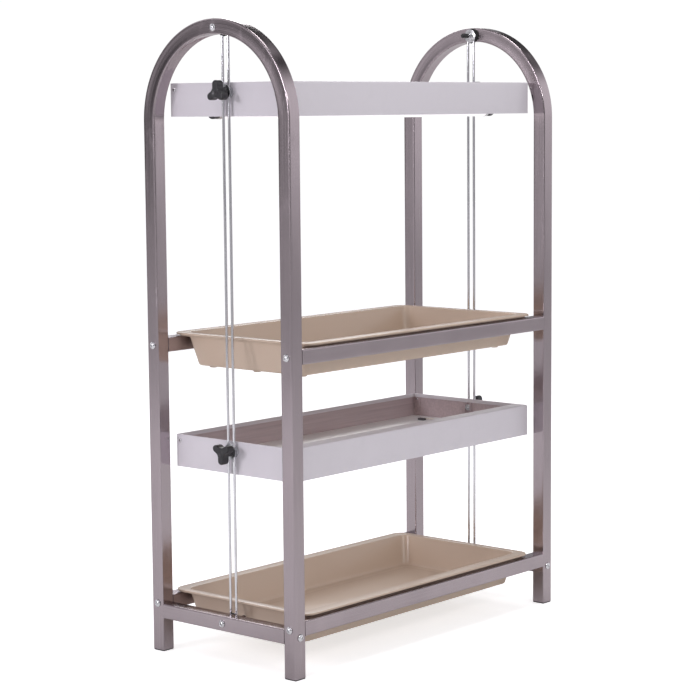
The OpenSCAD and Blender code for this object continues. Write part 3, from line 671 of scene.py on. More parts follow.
@dataclass
class Hardware:
    """Stock bolts, nuts and washers, each built along +Z with its seat at zero.

    Attributes:
        shank_d, head_d, head_h, head_edge: Shank and head of a pan-head bolt, and its straight edge.
        recess_w, recess_l, recess_depth: Width, length and depth of the cross recess.
        recess_side, recess_end: Width of the slope at an arm's sides and at its ends.
        nut_af, nut_h: Width across flats and thickness of a nut.
        pitch, thread_depth: Pitch and depth of a screw thread.
        hole_d: Hole in the washers and spacers that a shank goes through.
        mouth: Depth of the countersink at a nut's thread.
        steps: Points round a bolt's head or a nut.
    """

    shank_d: float = 6.35 * MM
    head_d: float = 12.7 * MM
    head_h: float = 4.0 * MM
    head_edge: float = 1.2 * MM
    recess_w: float = 1.7 * MM
    recess_l: float = 6.6 * MM
    recess_depth: float = 1.9 * MM
    recess_side: float = 0.45 * MM
    recess_end: float = 1.5 * MM
    nut_af: float = 11.0 * MM
    nut_h: float = 5.5 * MM
    pitch: float = 1.27 * MM
    thread_depth: float = 0.6 * MM
    hole_d: float = 6.85 * MM
    mouth: float = 0.5 * MM
    steps: int = 72

    def pan_head(self, shank: float) -> list[Patch]:
        """A pan-head bolt with a cross recess, and its shank down to -shank.

        The dome is a sphere cap over the straight edge. The recess sinks it by its depth times a
        smooth step across the width and along the length of each arm, whichever arm is deeper.
        """
        dome = self.head_h - self.head_edge
        sphere = (self.head_d**2 / 4 + dome**2) / (2 * dome)
        fine_r, rim_r = 0.62 * self.head_d / 2, 0.985 * self.head_d / 2
        radius = np.concatenate([np.linspace(0, fine_r, 20), np.linspace(fine_r, rim_r, 8)[1:]])[:, None]
        angle = (np.arange(self.steps) * 2 * np.pi / self.steps)[None, :]
        x, y = radius * np.cos(angle), radius * np.sin(angle)

        def step(value: Array, soft: float) -> Array:
            """Smooth step from 0 to 1 as value grows from 0 to soft."""
            t = np.clip(value / soft, 0, 1)
            return t * t * (3 - 2 * t)

        def arm(along: Array, across: Array) -> Array:
            """One arm of the recess: full depth inside its width and length."""
            sides = step(self.recess_w / 2 - np.abs(across), self.recess_side)
            return sides * step(self.recess_l / 2 - np.abs(along), self.recess_end)

        sink = self.recess_depth * np.maximum(arm(x, y), arm(y, x))
        z = self.head_h - sphere + np.sqrt(sphere**2 - radius**2) - sink
        top = np.stack([x, y, z + 0 * x], axis=-1)
        edge = turned(np.array([[self.head_d / 2, self.head_edge], [self.head_d / 2, 0.2 * MM],
                                [self.head_d / 2 - 0.2 * MM, 0], [self.shank_d / 2, 0],
                                [self.shank_d / 2, -shank + 0.6 * MM], [self.shank_d / 2 - 0.6 * MM, -shank],
                                [0, -shank]]), self.steps)
        return [Patch(np.concatenate([top, edge]))]

    def nut(self, bore_d: float) -> list[Patch]:
        """A hexagon nut with both faces chamfered.

        The outside radius at an angle is half the flats over the cosine of the angle from the
        nearest flat, and the chamfer lowers the face by 0.58 of what stands past the flats.
        """
        angle = np.arange(self.steps) * 2 * np.pi / self.steps
        flat, bore = self.nut_af / 2, bore_d / 2
        hexagon = flat / np.cos((angle + np.pi / 6) % (np.pi / 3) - np.pi / 6)
        chamfer = 0.58 * (hexagon - flat) + 0.15 * MM
        one = np.ones_like(angle)
        rim = np.stack([bore * one, (bore + self.mouth) * one, 0.93 * flat * one, hexagon])
        rise = np.stack([self.mouth * one, 0 * one, 0 * one, chamfer])
        radii = np.concatenate([rim, rim[::-1]])
        heights = np.concatenate([rise, self.nut_h - rise[::-1]])
        grid = np.stack([radii * np.cos(angle), radii * np.sin(angle), heights], axis=-1)
        return [Patch(grid, wrap_rows=True)]

    def washer(self, outer_d: float, bore_d: float, thickness: float, edge: float) -> list[Patch]:
        """A flat ring with rounded edges, standing on zero."""
        inner, outer = bore_d / 2, outer_d / 2
        outline = np.array([[inner, 0], [outer, 0], [outer, thickness], [inner, thickness]])
        return [ring(filleted(outline, edge, 4, closed=True), 64)]

    def screw(self, length: float) -> list[Patch]:
        """A threaded rod from zero up: the radius dips by a smooth wave that climbs one pitch a turn."""
        rows = int(length / self.pitch * 9)
        height = np.linspace(0, length, rows)[:, None]
        angle = (np.arange(28) * 2 * np.pi / 28)[None, :]
        wave = 0.5 + 0.5 * np.cos(2 * np.pi * height / self.pitch - angle)
        fade = np.clip(np.minimum(height, length - height) / (1.2 * self.pitch), 0, 1)
        radius = self.shank_d / 2 - self.thread_depth * (1 - wave**0.7 * fade)
        body = np.stack([radius * np.cos(angle), radius * np.sin(angle), height + 0 * angle], axis=-1)
        return [Patch(body, caps=(True, True))]


HARDWARE = Hardware()


# ---- tube frame ----


@dataclass
class TubeFrame:
    """The arched end frames, the rails between them and what closes and joins the tubes.

    Attributes:
        tube: Side of the square tube.
        wall: Its wall.
        corner: Its outside corner radius.
        foot: Thickness of the foot caps under the legs.
        stem: How far a foot cap reaches into its leg.
        sink: How far the bent stretch's inner face is drawn in.
        hollow: How far its two side faces are drawn in.
        flat_tol: What still counts as lying in a face of the tube.
        bolt_past: How far a bolt reaches past its leg.
        arc_steps: Stations round the arch.
    """

    tube: float = 25.4 * MM
    wall: float = 1.2 * MM
    corner: float = 2.0 * MM
    foot: float = 2.0 * MM
    stem: float = 16.0 * MM
    sink: float = 0.9 * MM
    hollow: float = 0.35 * MM
    flat_tol: float = 0.02 * MM
    bolt_past: float = 21.0 * MM
    arc_steps: int = 96

    def outlines(self) -> tuple[Array, Array]:
        """Outside and inside outline of the tube, with the same number of points."""
        half = self.tube / 2
        outside = rounded_rectangle(half, half, self.corner, 6, 8)
        inside = rounded_rectangle(half - self.wall, half - self.wall, self.corner - self.wall, 6, 8)
        return outside, inside

    def hollow_bar(self, outside: Array, inside: Array, centres: Array, sides: Array, ups: Array) -> Patch:
        """A tube: out along its outside, round the end and back along its inside, closed on itself."""
        out = carried(outside, centres, sides, ups)
        back = carried(inside, centres, sides, ups)[::-1]
        return Patch(np.concatenate([out, back]), wrap_rows=True)

    def end_frame(self, end: End) -> None:
        """One arched end frame.

        The path is a straight leg, half a circle about the spring line and a straight leg. In the
        bend, each point of the outline's inner side is drawn in by the sink times a cosine across
        that side, and each point of the two flat sides by the hollow times a cosine, as a bent
        tube's walls are. Both fade in over the first and last tenth of the bend.
        """
        node = f"end_frame_{end.word}"
        low, high = (np.array(c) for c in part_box(node))
        x, leg_y = (low[0] + high[0]) / 2, (high[1] - low[1] - self.tube) / 2
        spring = high[2] - leg_y - self.tube / 2
        leg = np.linspace(0, 1, 14)[:-1]
        turn = np.linspace(0, np.pi, self.arc_steps + 1)
        phase = np.concatenate([0 * leg, turn, 0 * leg + np.pi])
        height = np.concatenate([low[2] + (spring - low[2]) * leg, spring + leg_y * np.sin(turn),
                                 (low[2] + (spring - low[2]) * leg)[::-1]])
        centres = np.stack([x + 0 * phase, -leg_y * np.cos(phase), height], axis=1)
        ups = np.stack([0 * phase, -np.cos(phase), np.sin(phase)], axis=1)
        bend = np.clip(np.sin(phase) / np.sin(0.1 * np.pi), 0, 1)[:, None]
        outside, inside = self.outlines()
        outside = np.broadcast_to(outside, (len(phase), *outside.shape)).copy()
        across = np.cos(np.clip(outside / (self.tube / 2 - self.corner), -1, 1) * np.pi / 2)
        inner_face = outside[..., 1] < -self.tube / 2 + self.flat_tol
        side_face = np.abs(outside[..., 0]) > self.tube / 2 - self.flat_tol
        drawn = np.sign(outside[..., 0]) * self.hollow * across[..., 1] * bend
        outside[..., 1] += np.where(inner_face, self.sink * across[..., 0] * bend, 0)
        outside[..., 0] -= np.where(side_face, drawn, 0)
        patch = self.hollow_bar(outside, inside, centres, X_AXIS, ups)
        add_piece(f"arched_frame_{end.word}", [patch], TUBE, node)

    def rail(self, node: str, name: str, along: Array) -> None:
        """A straight rail of the same tube: the outline carried from one end of its box to the other."""
        low, high = (np.array(c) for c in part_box(node))
        centre = (low + high) / 2
        reach = (high - low) @ along / 2
        stations = np.array([-1, -0.998, -0.6, -0.2, 0.2, 0.6, 0.998, 1])[:, None] * reach
        centres = centre + stations * along
        outside, inside = self.outlines()
        across = Y_AXIS if along[0] else X_AXIS
        bar = self.hollow_bar(outside, inside, centres, across, Z_AXIS)
        add_piece(name, [bar], TUBE, node, bevel=0.25 * MM)

    def foot_caps(self) -> None:
        """Caps in the feet: a flange with a rounded edge, and a plug with a tapered nose above it.

        Contours run from the underside out, up the flange, in to the plug and up to its nose.
        """
        half = self.tube / 2
        rim, seat = half - 0.3 * MM, self.foot - 0.05 * MM
        inner = half - self.wall - 0.05 * MM
        top = self.foot + self.stem
        contours = filleted(np.array([[half - 8 * MM, 0.4 * MM], [half - 4 * MM, 0], [rim, 0], [rim, seat],
                                      [inner, seat], [inner, top - 3 * MM], [inner - 1.2 * MM, top]]),
                            0.3 * MM, 3)
        reach, level = contours[:, 0], contours[:, None, 1:]
        outline = rounded_rectangle(reach, reach, np.minimum(self.corner, reach / 2), 5)
        grid = np.concatenate([outline, np.broadcast_to(level, (*outline.shape[:2], 1))], axis=2)
        low, high = (np.array(c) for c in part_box("foot_caps"))
        x, y = high[0] - half, high[1] - half
        patches = [Patch(grid + np.array([i * x, j * y, low[2]]), caps=(True, True))
                   for i in (-1, 1) for j in (-1, 1)]
        add_piece("foot_caps_black", patches, CAP_BLACK, "foot_caps")

    def bolts(self) -> None:
        """The frame bolts: their heads stand on the legs' outer faces, their shanks reach the plugs."""
        leg_low, leg_high = (np.array(c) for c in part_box("end_frame_right"))
        outer_x, outer_y = leg_high[0], leg_high[1]
        leg_x, leg_y = (leg_low[0] + leg_high[0]) / 2, outer_y - self.tube / 2
        reach = self.tube + self.bolt_past
        heights = [middle("low_rail_front")[2], middle("mid_rail_front")[2]]
        rail_heads = [moved(p, (i * outer_x, j * leg_y, z), X_AXIS * i, self.spin(i, j, z))
                      for i in (-1, 1) for j in (-1, 1) for z in heights for p in HARDWARE.pan_head(reach)]
        add_piece("rail_bolts_plated", rail_heads, BOLT_PLATE, "rail_bolts", 50)
        end_z = middle("end_rail_left")[2]
        end_heads = [moved(p, (i * leg_x, j * outer_y, end_z), Y_AXIS * j, self.spin(i, j, end_z))
                     for i in (-1, 1) for j in (-1, 1) for p in HARDWARE.pan_head(reach)]
        add_piece("end_rail_bolts_plated", end_heads, BOLT_PLATE, "end_rail_bolts", 50)

    def spin(self, i: float, j: float, z: float) -> Array:
        """A direction for a bolt's cross recess that differs from bolt to bolt, in no order."""
        angle = 2.4 * i + 5.1 * j + 37 * z
        return np.array([0.31 * np.cos(angle + 1), 0.29 * np.sin(angle), np.cos(angle)])

    def build(self) -> None:
        """Builds and dresses the whole tube frame."""
        for end in End:
            self.end_frame(end)
            self.rail(f"end_rail_{end.word}", f"short_rail_{end.word}", Y_AXIS)
        for level in ("mid", "low"):
            for place in ("front", "back"):
                self.rail(f"{level}_rail_{place}", f"long_rail_{level}_{place}", X_AXIS)
        self.foot_caps()
        self.bolts()
        dress_node("rail_plugs", PLUG_GREY)
        dress_node("end_rail_plugs", PLUG_GREY)


# ---- guide rods ----


@dataclass
class GuideRods:
    """The hairpin rods at both ends and the bolts, pads, washers, nuts and caps that hold them.

    Attributes:
        rod_d, chamfer: Diameter of a rod, and the chamfer at its foot.
        pad_d, pad_t: Rubber pad behind the rods.
        cup_d, cup_t, boss_d, boss_h: Cup washer that presses on the rods, and its raised middle.
        cap_d, cap_l: Cap over a thread's end.
    """

    rod_d: float = 4.8 * MM
    chamfer: float = 0.4 * MM
    pad_d: float = 28.0 * MM
    pad_t: float = 1.5 * MM
    cup_d: float = 25.0 * MM
    cup_t: float = 2.0 * MM
    boss_d: float = 15.0 * MM
    boss_h: float = 1.2 * MM
    cap_d: float = 8.6 * MM
    cap_l: float = 17.0 * MM

    def levels(self) -> tuple[float, float]:
        """Heights of the lower and the upper rod bolts."""
        low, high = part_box("rod_bolts")
        return low[2] + HARDWARE.head_d / 2, high[2] - HARDWARE.head_d / 2

    def hairpin(self, end: End) -> None:
        """Two rods joined by half a circle at the top: a circle carried up, round and down."""
        node = f"guide_rods_{end.word}"
        low, high = (np.array(c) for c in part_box(node))
        x, half_pitch = (low[0] + high[0]) / 2, (high[1] - low[1] - self.rod_d) / 2
        bend_z = high[2] - half_pitch - self.rod_d / 2
        straight = np.concatenate([[0, self.chamfer], np.array([0.25, 0.5, 0.75]) * (bend_z - low[2])])
        turn = np.linspace(0, np.pi, 25)
        phase = np.concatenate([0 * straight, turn, 0 * straight + np.pi])
        height = np.concatenate([low[2] + straight, bend_z + half_pitch * np.sin(turn),
                                 (low[2] + straight)[::-1]])
        centres = np.stack([x + 0 * phase, -half_pitch * np.cos(phase), height], axis=1)
        ups = np.stack([0 * phase, -np.cos(phase), np.sin(phase)], axis=1)
        angle = np.arange(28) * 2 * np.pi / 28
        size = np.full(len(phase), self.rod_d / 2)
        size[[0, -1]] -= self.chamfer
        circle = size[:, None, None] * np.stack([np.cos(angle), np.sin(angle)], axis=1)
        add_piece(f"rod_pair_{end.word}", [solid(circle, centres, X_AXIS, ups)], ROD_PLATE, node)

    def fittings(self) -> None:
        """The four stacks on the rod bolts, from the head outside to the cap inside."""
        outer_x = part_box("end_frame_right")[1][0]
        pad_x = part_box("rod_pads")[1][0]
        cup_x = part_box("cup_washers")[1][0] - self.cup_t - self.boss_h
        nut_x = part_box("rod_nuts")[1][0] - HARDWARE.nut_h
        hole, boss, rim, top = HARDWARE.hole_d / 2, self.boss_d / 2, self.cup_d / 2, self.boss_h + self.cup_t
        cup = filleted(np.array([[hole, 0], [boss - 1.5 * MM, 0], [boss, self.boss_h],
                                 [rim, self.boss_h + 0.5 * MM], [rim, top], [hole, top]]),
                       [0.3 * MM, 0.8 * MM, 0.5 * MM, 0.4 * MM], 4)
        shank, side, depth = HARDWARE.shank_d / 2, self.cap_d / 2, self.cap_l - 2 * MM
        cap = filleted(np.array([[0, 0], [side, 0], [side, self.cap_l - 1.5 * MM],
                                 [side + 0.01 * MM, self.cap_l], [shank, self.cap_l]]),
                       [3.6 * MM, 0.1 * MM, 0.4 * MM], 8)
        cap = np.concatenate([cap, [[shank, depth], [0, depth]]])
        spots = [(i, z) for i in (-1, 1) for z in self.levels()]
        reach = outer_x - nut_x + self.cap_l - 5 * MM
        stacks: dict[str, tuple[str, Finish, float, list[Patch]]] = {
            "rod_bolts_plated": ("rod_bolts", BOLT_PLATE, outer_x, HARDWARE.pan_head(reach)),
            "rubber_pads": ("rod_pads", PAD_RUBBER, pad_x - self.pad_t,
                            HARDWARE.washer(self.pad_d, HARDWARE.hole_d, self.pad_t, 0.35 * MM)),
            "cup_washers_plated": ("cup_washers", BOLT_PLATE, cup_x, [ring(cup, 64)]),
            "rod_nuts_plated": ("rod_nuts", BOLT_PLATE, nut_x, HARDWARE.nut(HARDWARE.shank_d)),
            "thread_caps_black": ("thread_caps", CAP_BLACK, nut_x - self.cap_l,
                                  [knob_of_revolution(cap, 40)]),
        }
        for name, (node, finish, x, shape) in stacks.items():
            patches = [moved(p, (i * x, 0, z), X_AXIS * i, np.array([0, 0.4 + i, 1.0 + z]))
                       for i, z in spots for p in shape]
            add_piece(name, patches, finish, node, 50 if name == "rod_bolts_plated" else 35)

    def build(self) -> None:
        """Builds and dresses the rods and their fittings."""
        for end in End:
            self.hairpin(end)
        self.fittings()


# ---- light fixtures ----


@dataclass
class Fixture:
    """One folded sheet-metal lamp fixture: housing, reflector, lamps and small parts.

    Attributes:
        tier: Which storey it lights.
        sheet: Thickness of the sheet metal.
        bend: Middle-line radius of the folds along the front.
        flange, lip: Width of the front flange and depth of its lip.
        hem: Depth of the folded hem along the other walls.
        tab_w: Width of the tabs that join the walls at the corners.
        tab_foot_gap, tab_hem_gap: Gaps from a tab to the reflector's underside and to the hem.
        pan_rise: Height of the reflector's underside over the fixture's underside.
        rivet_drop, rivet_inset: Where the corner rivets stand.
        lamp_r, lamp_l, cap_l: Radius of a lamp's caps, its length and each cap's length.
        pin_ring, pin_d, pin_l: Its pins.
        gland_r: Bore of the cord entry.
    """

    tier: Tier
    sheet: float = 1.0 * MM
    bend: float = 1.9 * MM
    flange: float = 28.0 * MM
    lip: float = 10.0 * MM
    hem: float = 7.0 * MM
    tab_w: float = 15.0 * MM
    tab_foot_gap: float = 3.0 * MM
    tab_hem_gap: float = 0.5 * MM
    pan_rise: float = 12.5 * MM
    rivet_drop: float = 11.0 * MM
    rivet_inset: float = 8.0 * MM
    lamp_r: float = 8.0 * MM
    lamp_l: float = 549.0 * MM
    cap_l: float = 9.0 * MM
    pin_ring: float = 2.5 * MM
    pin_d: float = 2.4 * MM
    pin_l: float = 6.5 * MM
    gland_r: float = 3.5 * MM
    low: Array = field(init=False)
    high: Array = field(init=False)

    def __post_init__(self) -> None:
        """Reads the housing's box."""
        self.low, self.high = (np.array(c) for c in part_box(self.node("housing")))

    def node(self, part: str) -> str:
        """Name of this fixture's CAD node for a part."""
        return f"{self.tier.value}_{part}"

    def front_wall(self) -> Patch:
        """Front wall, flange and lip: the bent sheet's section carried along X.

        The section's middle line goes up the wall, over the first fold, in along the flange, over
        the second fold and down the lip.
        """
        half, y, top = self.sheet / 2, self.low[1], self.high[2]
        edge = y + self.flange - half
        corners = np.array([[y + half, self.low[2]], [y + half, top - half], [edge, top - half],
                            [edge, top - self.lip]])
        section = sheet_section(filleted(corners, self.bend, 8), self.sheet)
        return self.two_sided(self.along_x(section), inner_first=False)

    def hemmed(self, face: float, inward: float) -> Array:
        """Section of a wall with a folded hem: up the wall, round half a circle and down again."""
        half, top = self.sheet / 2, self.high[2]
        fold = 0.6 * MM
        turn = np.linspace(0, np.pi, 9)
        centre = np.array([face + inward * (half + fold), top - half - fold])
        arc = centre + fold * np.stack([-inward * np.cos(turn), np.sin(turn)], axis=1)
        path = np.concatenate([[[face + inward * half, self.low[2]]], arc,
                               [[face + inward * (half + 2 * fold), top - self.hem]]])
        return sheet_section(path, self.sheet)

    def two_sided(self, wall: Patch, inner_first: bool) -> Patch:
        """Marks the half of a folded wall's outline that is the sheet's bare inner side."""
        half = wall.points.shape[1] // 2
        marks = np.repeat([float(inner_first), float(not inner_first)], half)
        wall.zone = np.broadcast_to(marks, wall.points.shape[:2])
        return wall

    def along_x(self, section: Array) -> Patch:
        """A section in Y and Z carried from one end wall to the other."""
        reach = self.high[0] - self.sheet
        centres = np.linspace(-reach, reach, 6)[:, None] * X_AXIS
        return solid(section, centres, Y_AXIS, Z_AXIS)

    def end_wall(self, end: End) -> Patch:
        """End wall with its hem, carried along Y.

        Near the front, its top follows the fold of the front wall: it drops by
        r - sqrt(r^2 - d^2), where d is how far the station has gone into the fold of radius r.
        """
        section = self.hemmed(end.value * self.high[0], -end.value)
        fold = self.bend + self.sheet / 2
        depth = np.array([1.0, 0.95, 0.85, 0.7, 0.5, 0.25, 0.0]) * fold
        ys = np.concatenate([self.low[1] + fold - depth, np.linspace(self.low[1] + 6 * MM, self.high[1], 5)])
        drop = np.concatenate([fold - np.sqrt(fold**2 - depth**2), np.zeros(5)])
        wall = carried(section, ys[:, None] * Y_AXIS, X_AXIS, Z_AXIS)
        upper = wall[..., 2] > self.high[2] - self.hem - 1 * MM
        wall[..., 2] -= np.where(upper, drop[:, None], 0)
        return self.two_sided(Patch(wall, caps=(True, True)), inner_first=end is End.RIGHT)

    def tab_span(self) -> tuple[float, float]:
        """Heights of the tabs' and ribs' lower and upper edge, between the pan and the hem."""
        return self.low[2] + self.pan_rise + self.tab_foot_gap, self.high[2] - self.hem - self.tab_hem_gap

    def tab(self, end: End, side: int) -> Patch:
        """Corner tab behind an end wall: a rounded plate, its edges softened by two small contours."""
        low, high = self.tab_span()
        half_z = (high - low) / 2
        inset = np.array([0.2, 0, 0, 0.2]) * MM
        level = np.array([0, 0.2, 0.8, 1.0]) * self.sheet
        outline = rounded_rectangle(half_z - inset, self.tab_w / 2 - inset, 2 * MM - inset, 4)
        level = np.broadcast_to(level[:, None, None], (*outline.shape[:2], 1))
        grid = np.concatenate([outline, level], axis=2)
        x, y = self.high[0] - 2 * self.sheet, self.high[1] - self.sheet - self.tab_w / 2
        origin = (end.value * x, side * y, (low + high) / 2)
        return moved(Patch(grid, caps=(True, True)), origin, X_AXIS * end.value)

    def nut_rib(self, end: End, side: int) -> Patch:
        """One of the two ribs beside a clamp nut: a rounded plate that stands off the end wall."""
        low, high = self.tab_span()
        depth = HARDWARE.nut_h + self.sheet
        outline = rounded_rectangle((high - low) / 2, depth / 2, 0.4 * MM, 3)
        y = side * (HARDWARE.nut_af + self.sheet + 0.1 * MM) / 2
        stations = (y + np.array([-0.5, 0.5])[:, None] * self.sheet) * Y_AXIS
        origin = np.array([end.value * (self.high[0] - self.sheet - depth / 2), 0, (low + high) / 2])
        return self.bare(solid(outline, origin + stations, Z_AXIS, X_AXIS * end.value))

    def bare(self, patch: Patch) -> Patch:
        """Marks a whole patch as the sheet's bare inner side."""
        patch.zone = np.ones(patch.points.shape[:2])
        return patch

    def housing(self) -> None:
        """The open box of folded sheet. Its inner side is bare, and its hems show the outer side."""
        back = self.two_sided(self.along_x(self.hemmed(self.high[1], -1)), inner_first=True)
        patches = [self.front_wall(), back, *(self.end_wall(end) for end in End)]
        for end in End:
            for side in (-1, 1):
                patches += [self.bare(self.tab(end, side)), self.nut_rib(end, side)]
        add_piece(self.node("folded_housing"), patches, ENAMEL, self.node("housing"), 30, bevel=0.15 * MM)

    def reflector(self) -> None:
        """Pan above the lamps: skirt, fold, a flat with two shallow stiffening folds, fold and skirt."""
        low, high = (np.array(c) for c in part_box(self.node("reflector")))
        half, level, edge = self.sheet / 2, high[2] - self.sheet / 2, high[1] - self.sheet / 2
        rib = 0.9 * MM
        corners = np.array([[-edge, low[2]], [-edge, level], [-26 * MM, level], [-20 * MM, level - rib],
                            [20 * MM, level - rib], [26 * MM, level], [edge, level], [edge, low[2]]])
        radii = np.array([1.2, 3, 3, 3, 3, 1.2]) * MM
        section = sheet_section(filleted(corners, radii, 5), self.sheet)
        reach = high[0] - 0.2 * MM
        pan = solid(section, np.linspace(-reach, reach, 4)[:, None] * X_AXIS, Y_AXIS, Z_AXIS)
        self.two_sided(pan, inner_first=True)
        add_piece(self.node("reflector_pan"), [pan], REFLECTOR, self.node("reflector"), 30, bevel=0.15 * MM)

    def rivets(self) -> None:
        """Domed rivets through the end walls, upset behind the tabs."""
        head_r, shank_r, height = 3.3 * MM, 1.8 * MM, 1.5 * MM
        tail, tail_r = 2 * self.sheet, shank_r + 0.7 * MM
        tip = tail + 1.5 * MM
        profile = filleted(np.array([[0, height], [0.72 * head_r, height], [head_r, 0.3 * MM], [head_r, 0],
                                     [shank_r, 0], [shank_r, -tail], [tail_r, -tail], [tail_r, -tip],
                                     [0, -tip]]),
                           np.array([0.8, 0.4, 0.1, 0.02, 0.02, 0.2, 0.5]) * MM, 4)
        shape = knob_of_revolution(profile, 32)
        z, y = self.high[2] - self.rivet_drop, self.high[1] - self.rivet_inset
        patches = [moved(shape, (i * self.high[0], j * y, z), X_AXIS * i) for i in (-1, 1) for j in (-1, 1)]
        add_piece(self.node("corner_rivets"), patches, BOLT_PLATE, self.node("rivets"))

    def clamp_seats(self) -> None:
        """Spacers outside the end walls and nuts inside them, on the clamp screws' line."""
        z = middle(self.node("spacers"))[2]
        spacer_x = self.high[0]
        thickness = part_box(self.node("spacers"))[1][0] - spacer_x
        nut_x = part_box(self.node("clamp_nuts"))[1][0] - HARDWARE.nut_h
        spacers = [moved(p, (i * spacer_x, 0, z), X_AXIS * i) for i in (-1, 1)
                   for p in HARDWARE.washer(22 * MM, HARDWARE.hole_d, thickness, 0.4 * MM)]
        add_piece(self.node("clamp_spacers"), spacers, ZINC, self.node("spacers"))
        nuts = [moved(p, (i * nut_x, 0, z), X_AXIS * i) for i in (-1, 1)
                for p in HARDWARE.nut(HARDWARE.shank_d + 0.1 * MM)]
        add_piece(self.node("fixed_nuts"), nuts, ZINC, self.node("clamp_nuts"))

    def gland(self) -> None:
        """Bushing in the right end wall: two rounded flanges on a short tube."""
        node = self.node("cord_gland")
        low, high = (np.array(c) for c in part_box(node))
        centre = (low + high) / 2
        outer = (high[1] - low[1]) / 2
        body, length, rim = outer - 1.5 * MM, high[0] - low[0], 2 * MM
        profile = np.array([[self.gland_r, 0], [outer, 0], [outer, rim], [body, rim], [body, length - rim],
                            [outer, length - rim], [outer, length], [self.gland_r, length]])
        radii = np.array([0.5, 0.7, 0.7, 0.05, 0.05, 0.7, 0.7, 0.5]) * MM
        shape = ring(filleted(profile, radii, 4, closed=True), 48)
        bushing = moved(shape, (low[0], centre[1], centre[2]), X_AXIS)
        add_piece(self.node("cord_bushing"), [bushing], GLAND, node)

    def lamp(self, place: str) -> None:
        """One lamp along X: its glass with drawn-in necks, and its two caps with their pins.

        The glass is a radius that falls by a smooth quarter wave over the last 6 mm before each
        cap. A cap is a cup with a rolled bead, a crimped groove and a domed end.
        """
        node = self.node(f"lamp_{place}")
        low, high = (np.array(c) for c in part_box(node))
        centre = (low + high) / 2
        half = self.lamp_l / 2
        neck, glass_r = 6 * MM, self.lamp_r - 0.3 * MM
        t = np.linspace(0, 1, 9)
        narrow = glass_r - 0.9 * MM * (1 - np.sin(t * np.pi / 2))
        reach = half - 0.6 * self.cap_l
        body = np.stack([np.concatenate([narrow, narrow[::-1]]),
                         np.concatenate([-reach + t * neck, (reach - t * neck)[::-1]])], axis=1)
        glass = Patch(stood(turned(body, 40), centre, X_AXIS), caps=(True, True))
        add_piece(self.node(f"lamp_{place}_glass"), [glass], GLASS, node)
        r, length = self.lamp_r, self.cap_l
        side, groove, mouth, bottom = r - 0.2 * MM, r - 0.7 * MM, 0.7 * r, 0.6 * length
        cap = filleted(np.array([[0, length], [side, length], [side, length - 3.2 * MM],
                                 [groove, length - 3.9 * MM], [side, length - 4.6 * MM],
                                 [side, 1.4 * MM], [r, 1.0 * MM], [r, 0], [mouth, 0]]),
                       np.array([1.6, 0.3, 0.3, 0.3, 0.2, 0.2, 0.4]) * MM, 4)
        cap = np.concatenate([cap, [[mouth, bottom], [0, bottom]]])
        pin_r, root = self.pin_d / 2, -1 * MM
        pin = filleted(np.array([[0, self.pin_l], [pin_r, self.pin_l], [pin_r, root], [0, root]]),
                       [0.8 * MM, 0.2 * MM], 5)
        patches = []
        for end in End:
            axis = X_AXIS * end.value
            outer = centre + axis * half
            patches.append(moved(knob_of_revolution(cap, 40), centre + axis * (half - length), axis))
            patches += [moved(knob_of_revolution(pin, 20), outer + Y_AXIS * j * self.pin_ring, axis)
                        for j in (-1, 1)]
        add_piece(self.node(f"lamp_{place}_caps"), patches, CAN, node, stands_in=False)

    def build(self) -> None:
        """Builds and dresses the fixture."""
        self.housing()
        self.reflector()
        self.rivets()
        self.clamp_seats()
        self.gland()
        for place in ("front", "back"):
            self.lamp(place)
        dress_node(self.node("wireway_cover"), COVER)
        dress_node(self.node("ballast"), BALLAST)
        dress_node(self.node("lampholders"), HOLDER)
        dress_node(self.node("lamp_leads"), SLEEVE)


# ---- clamps ----


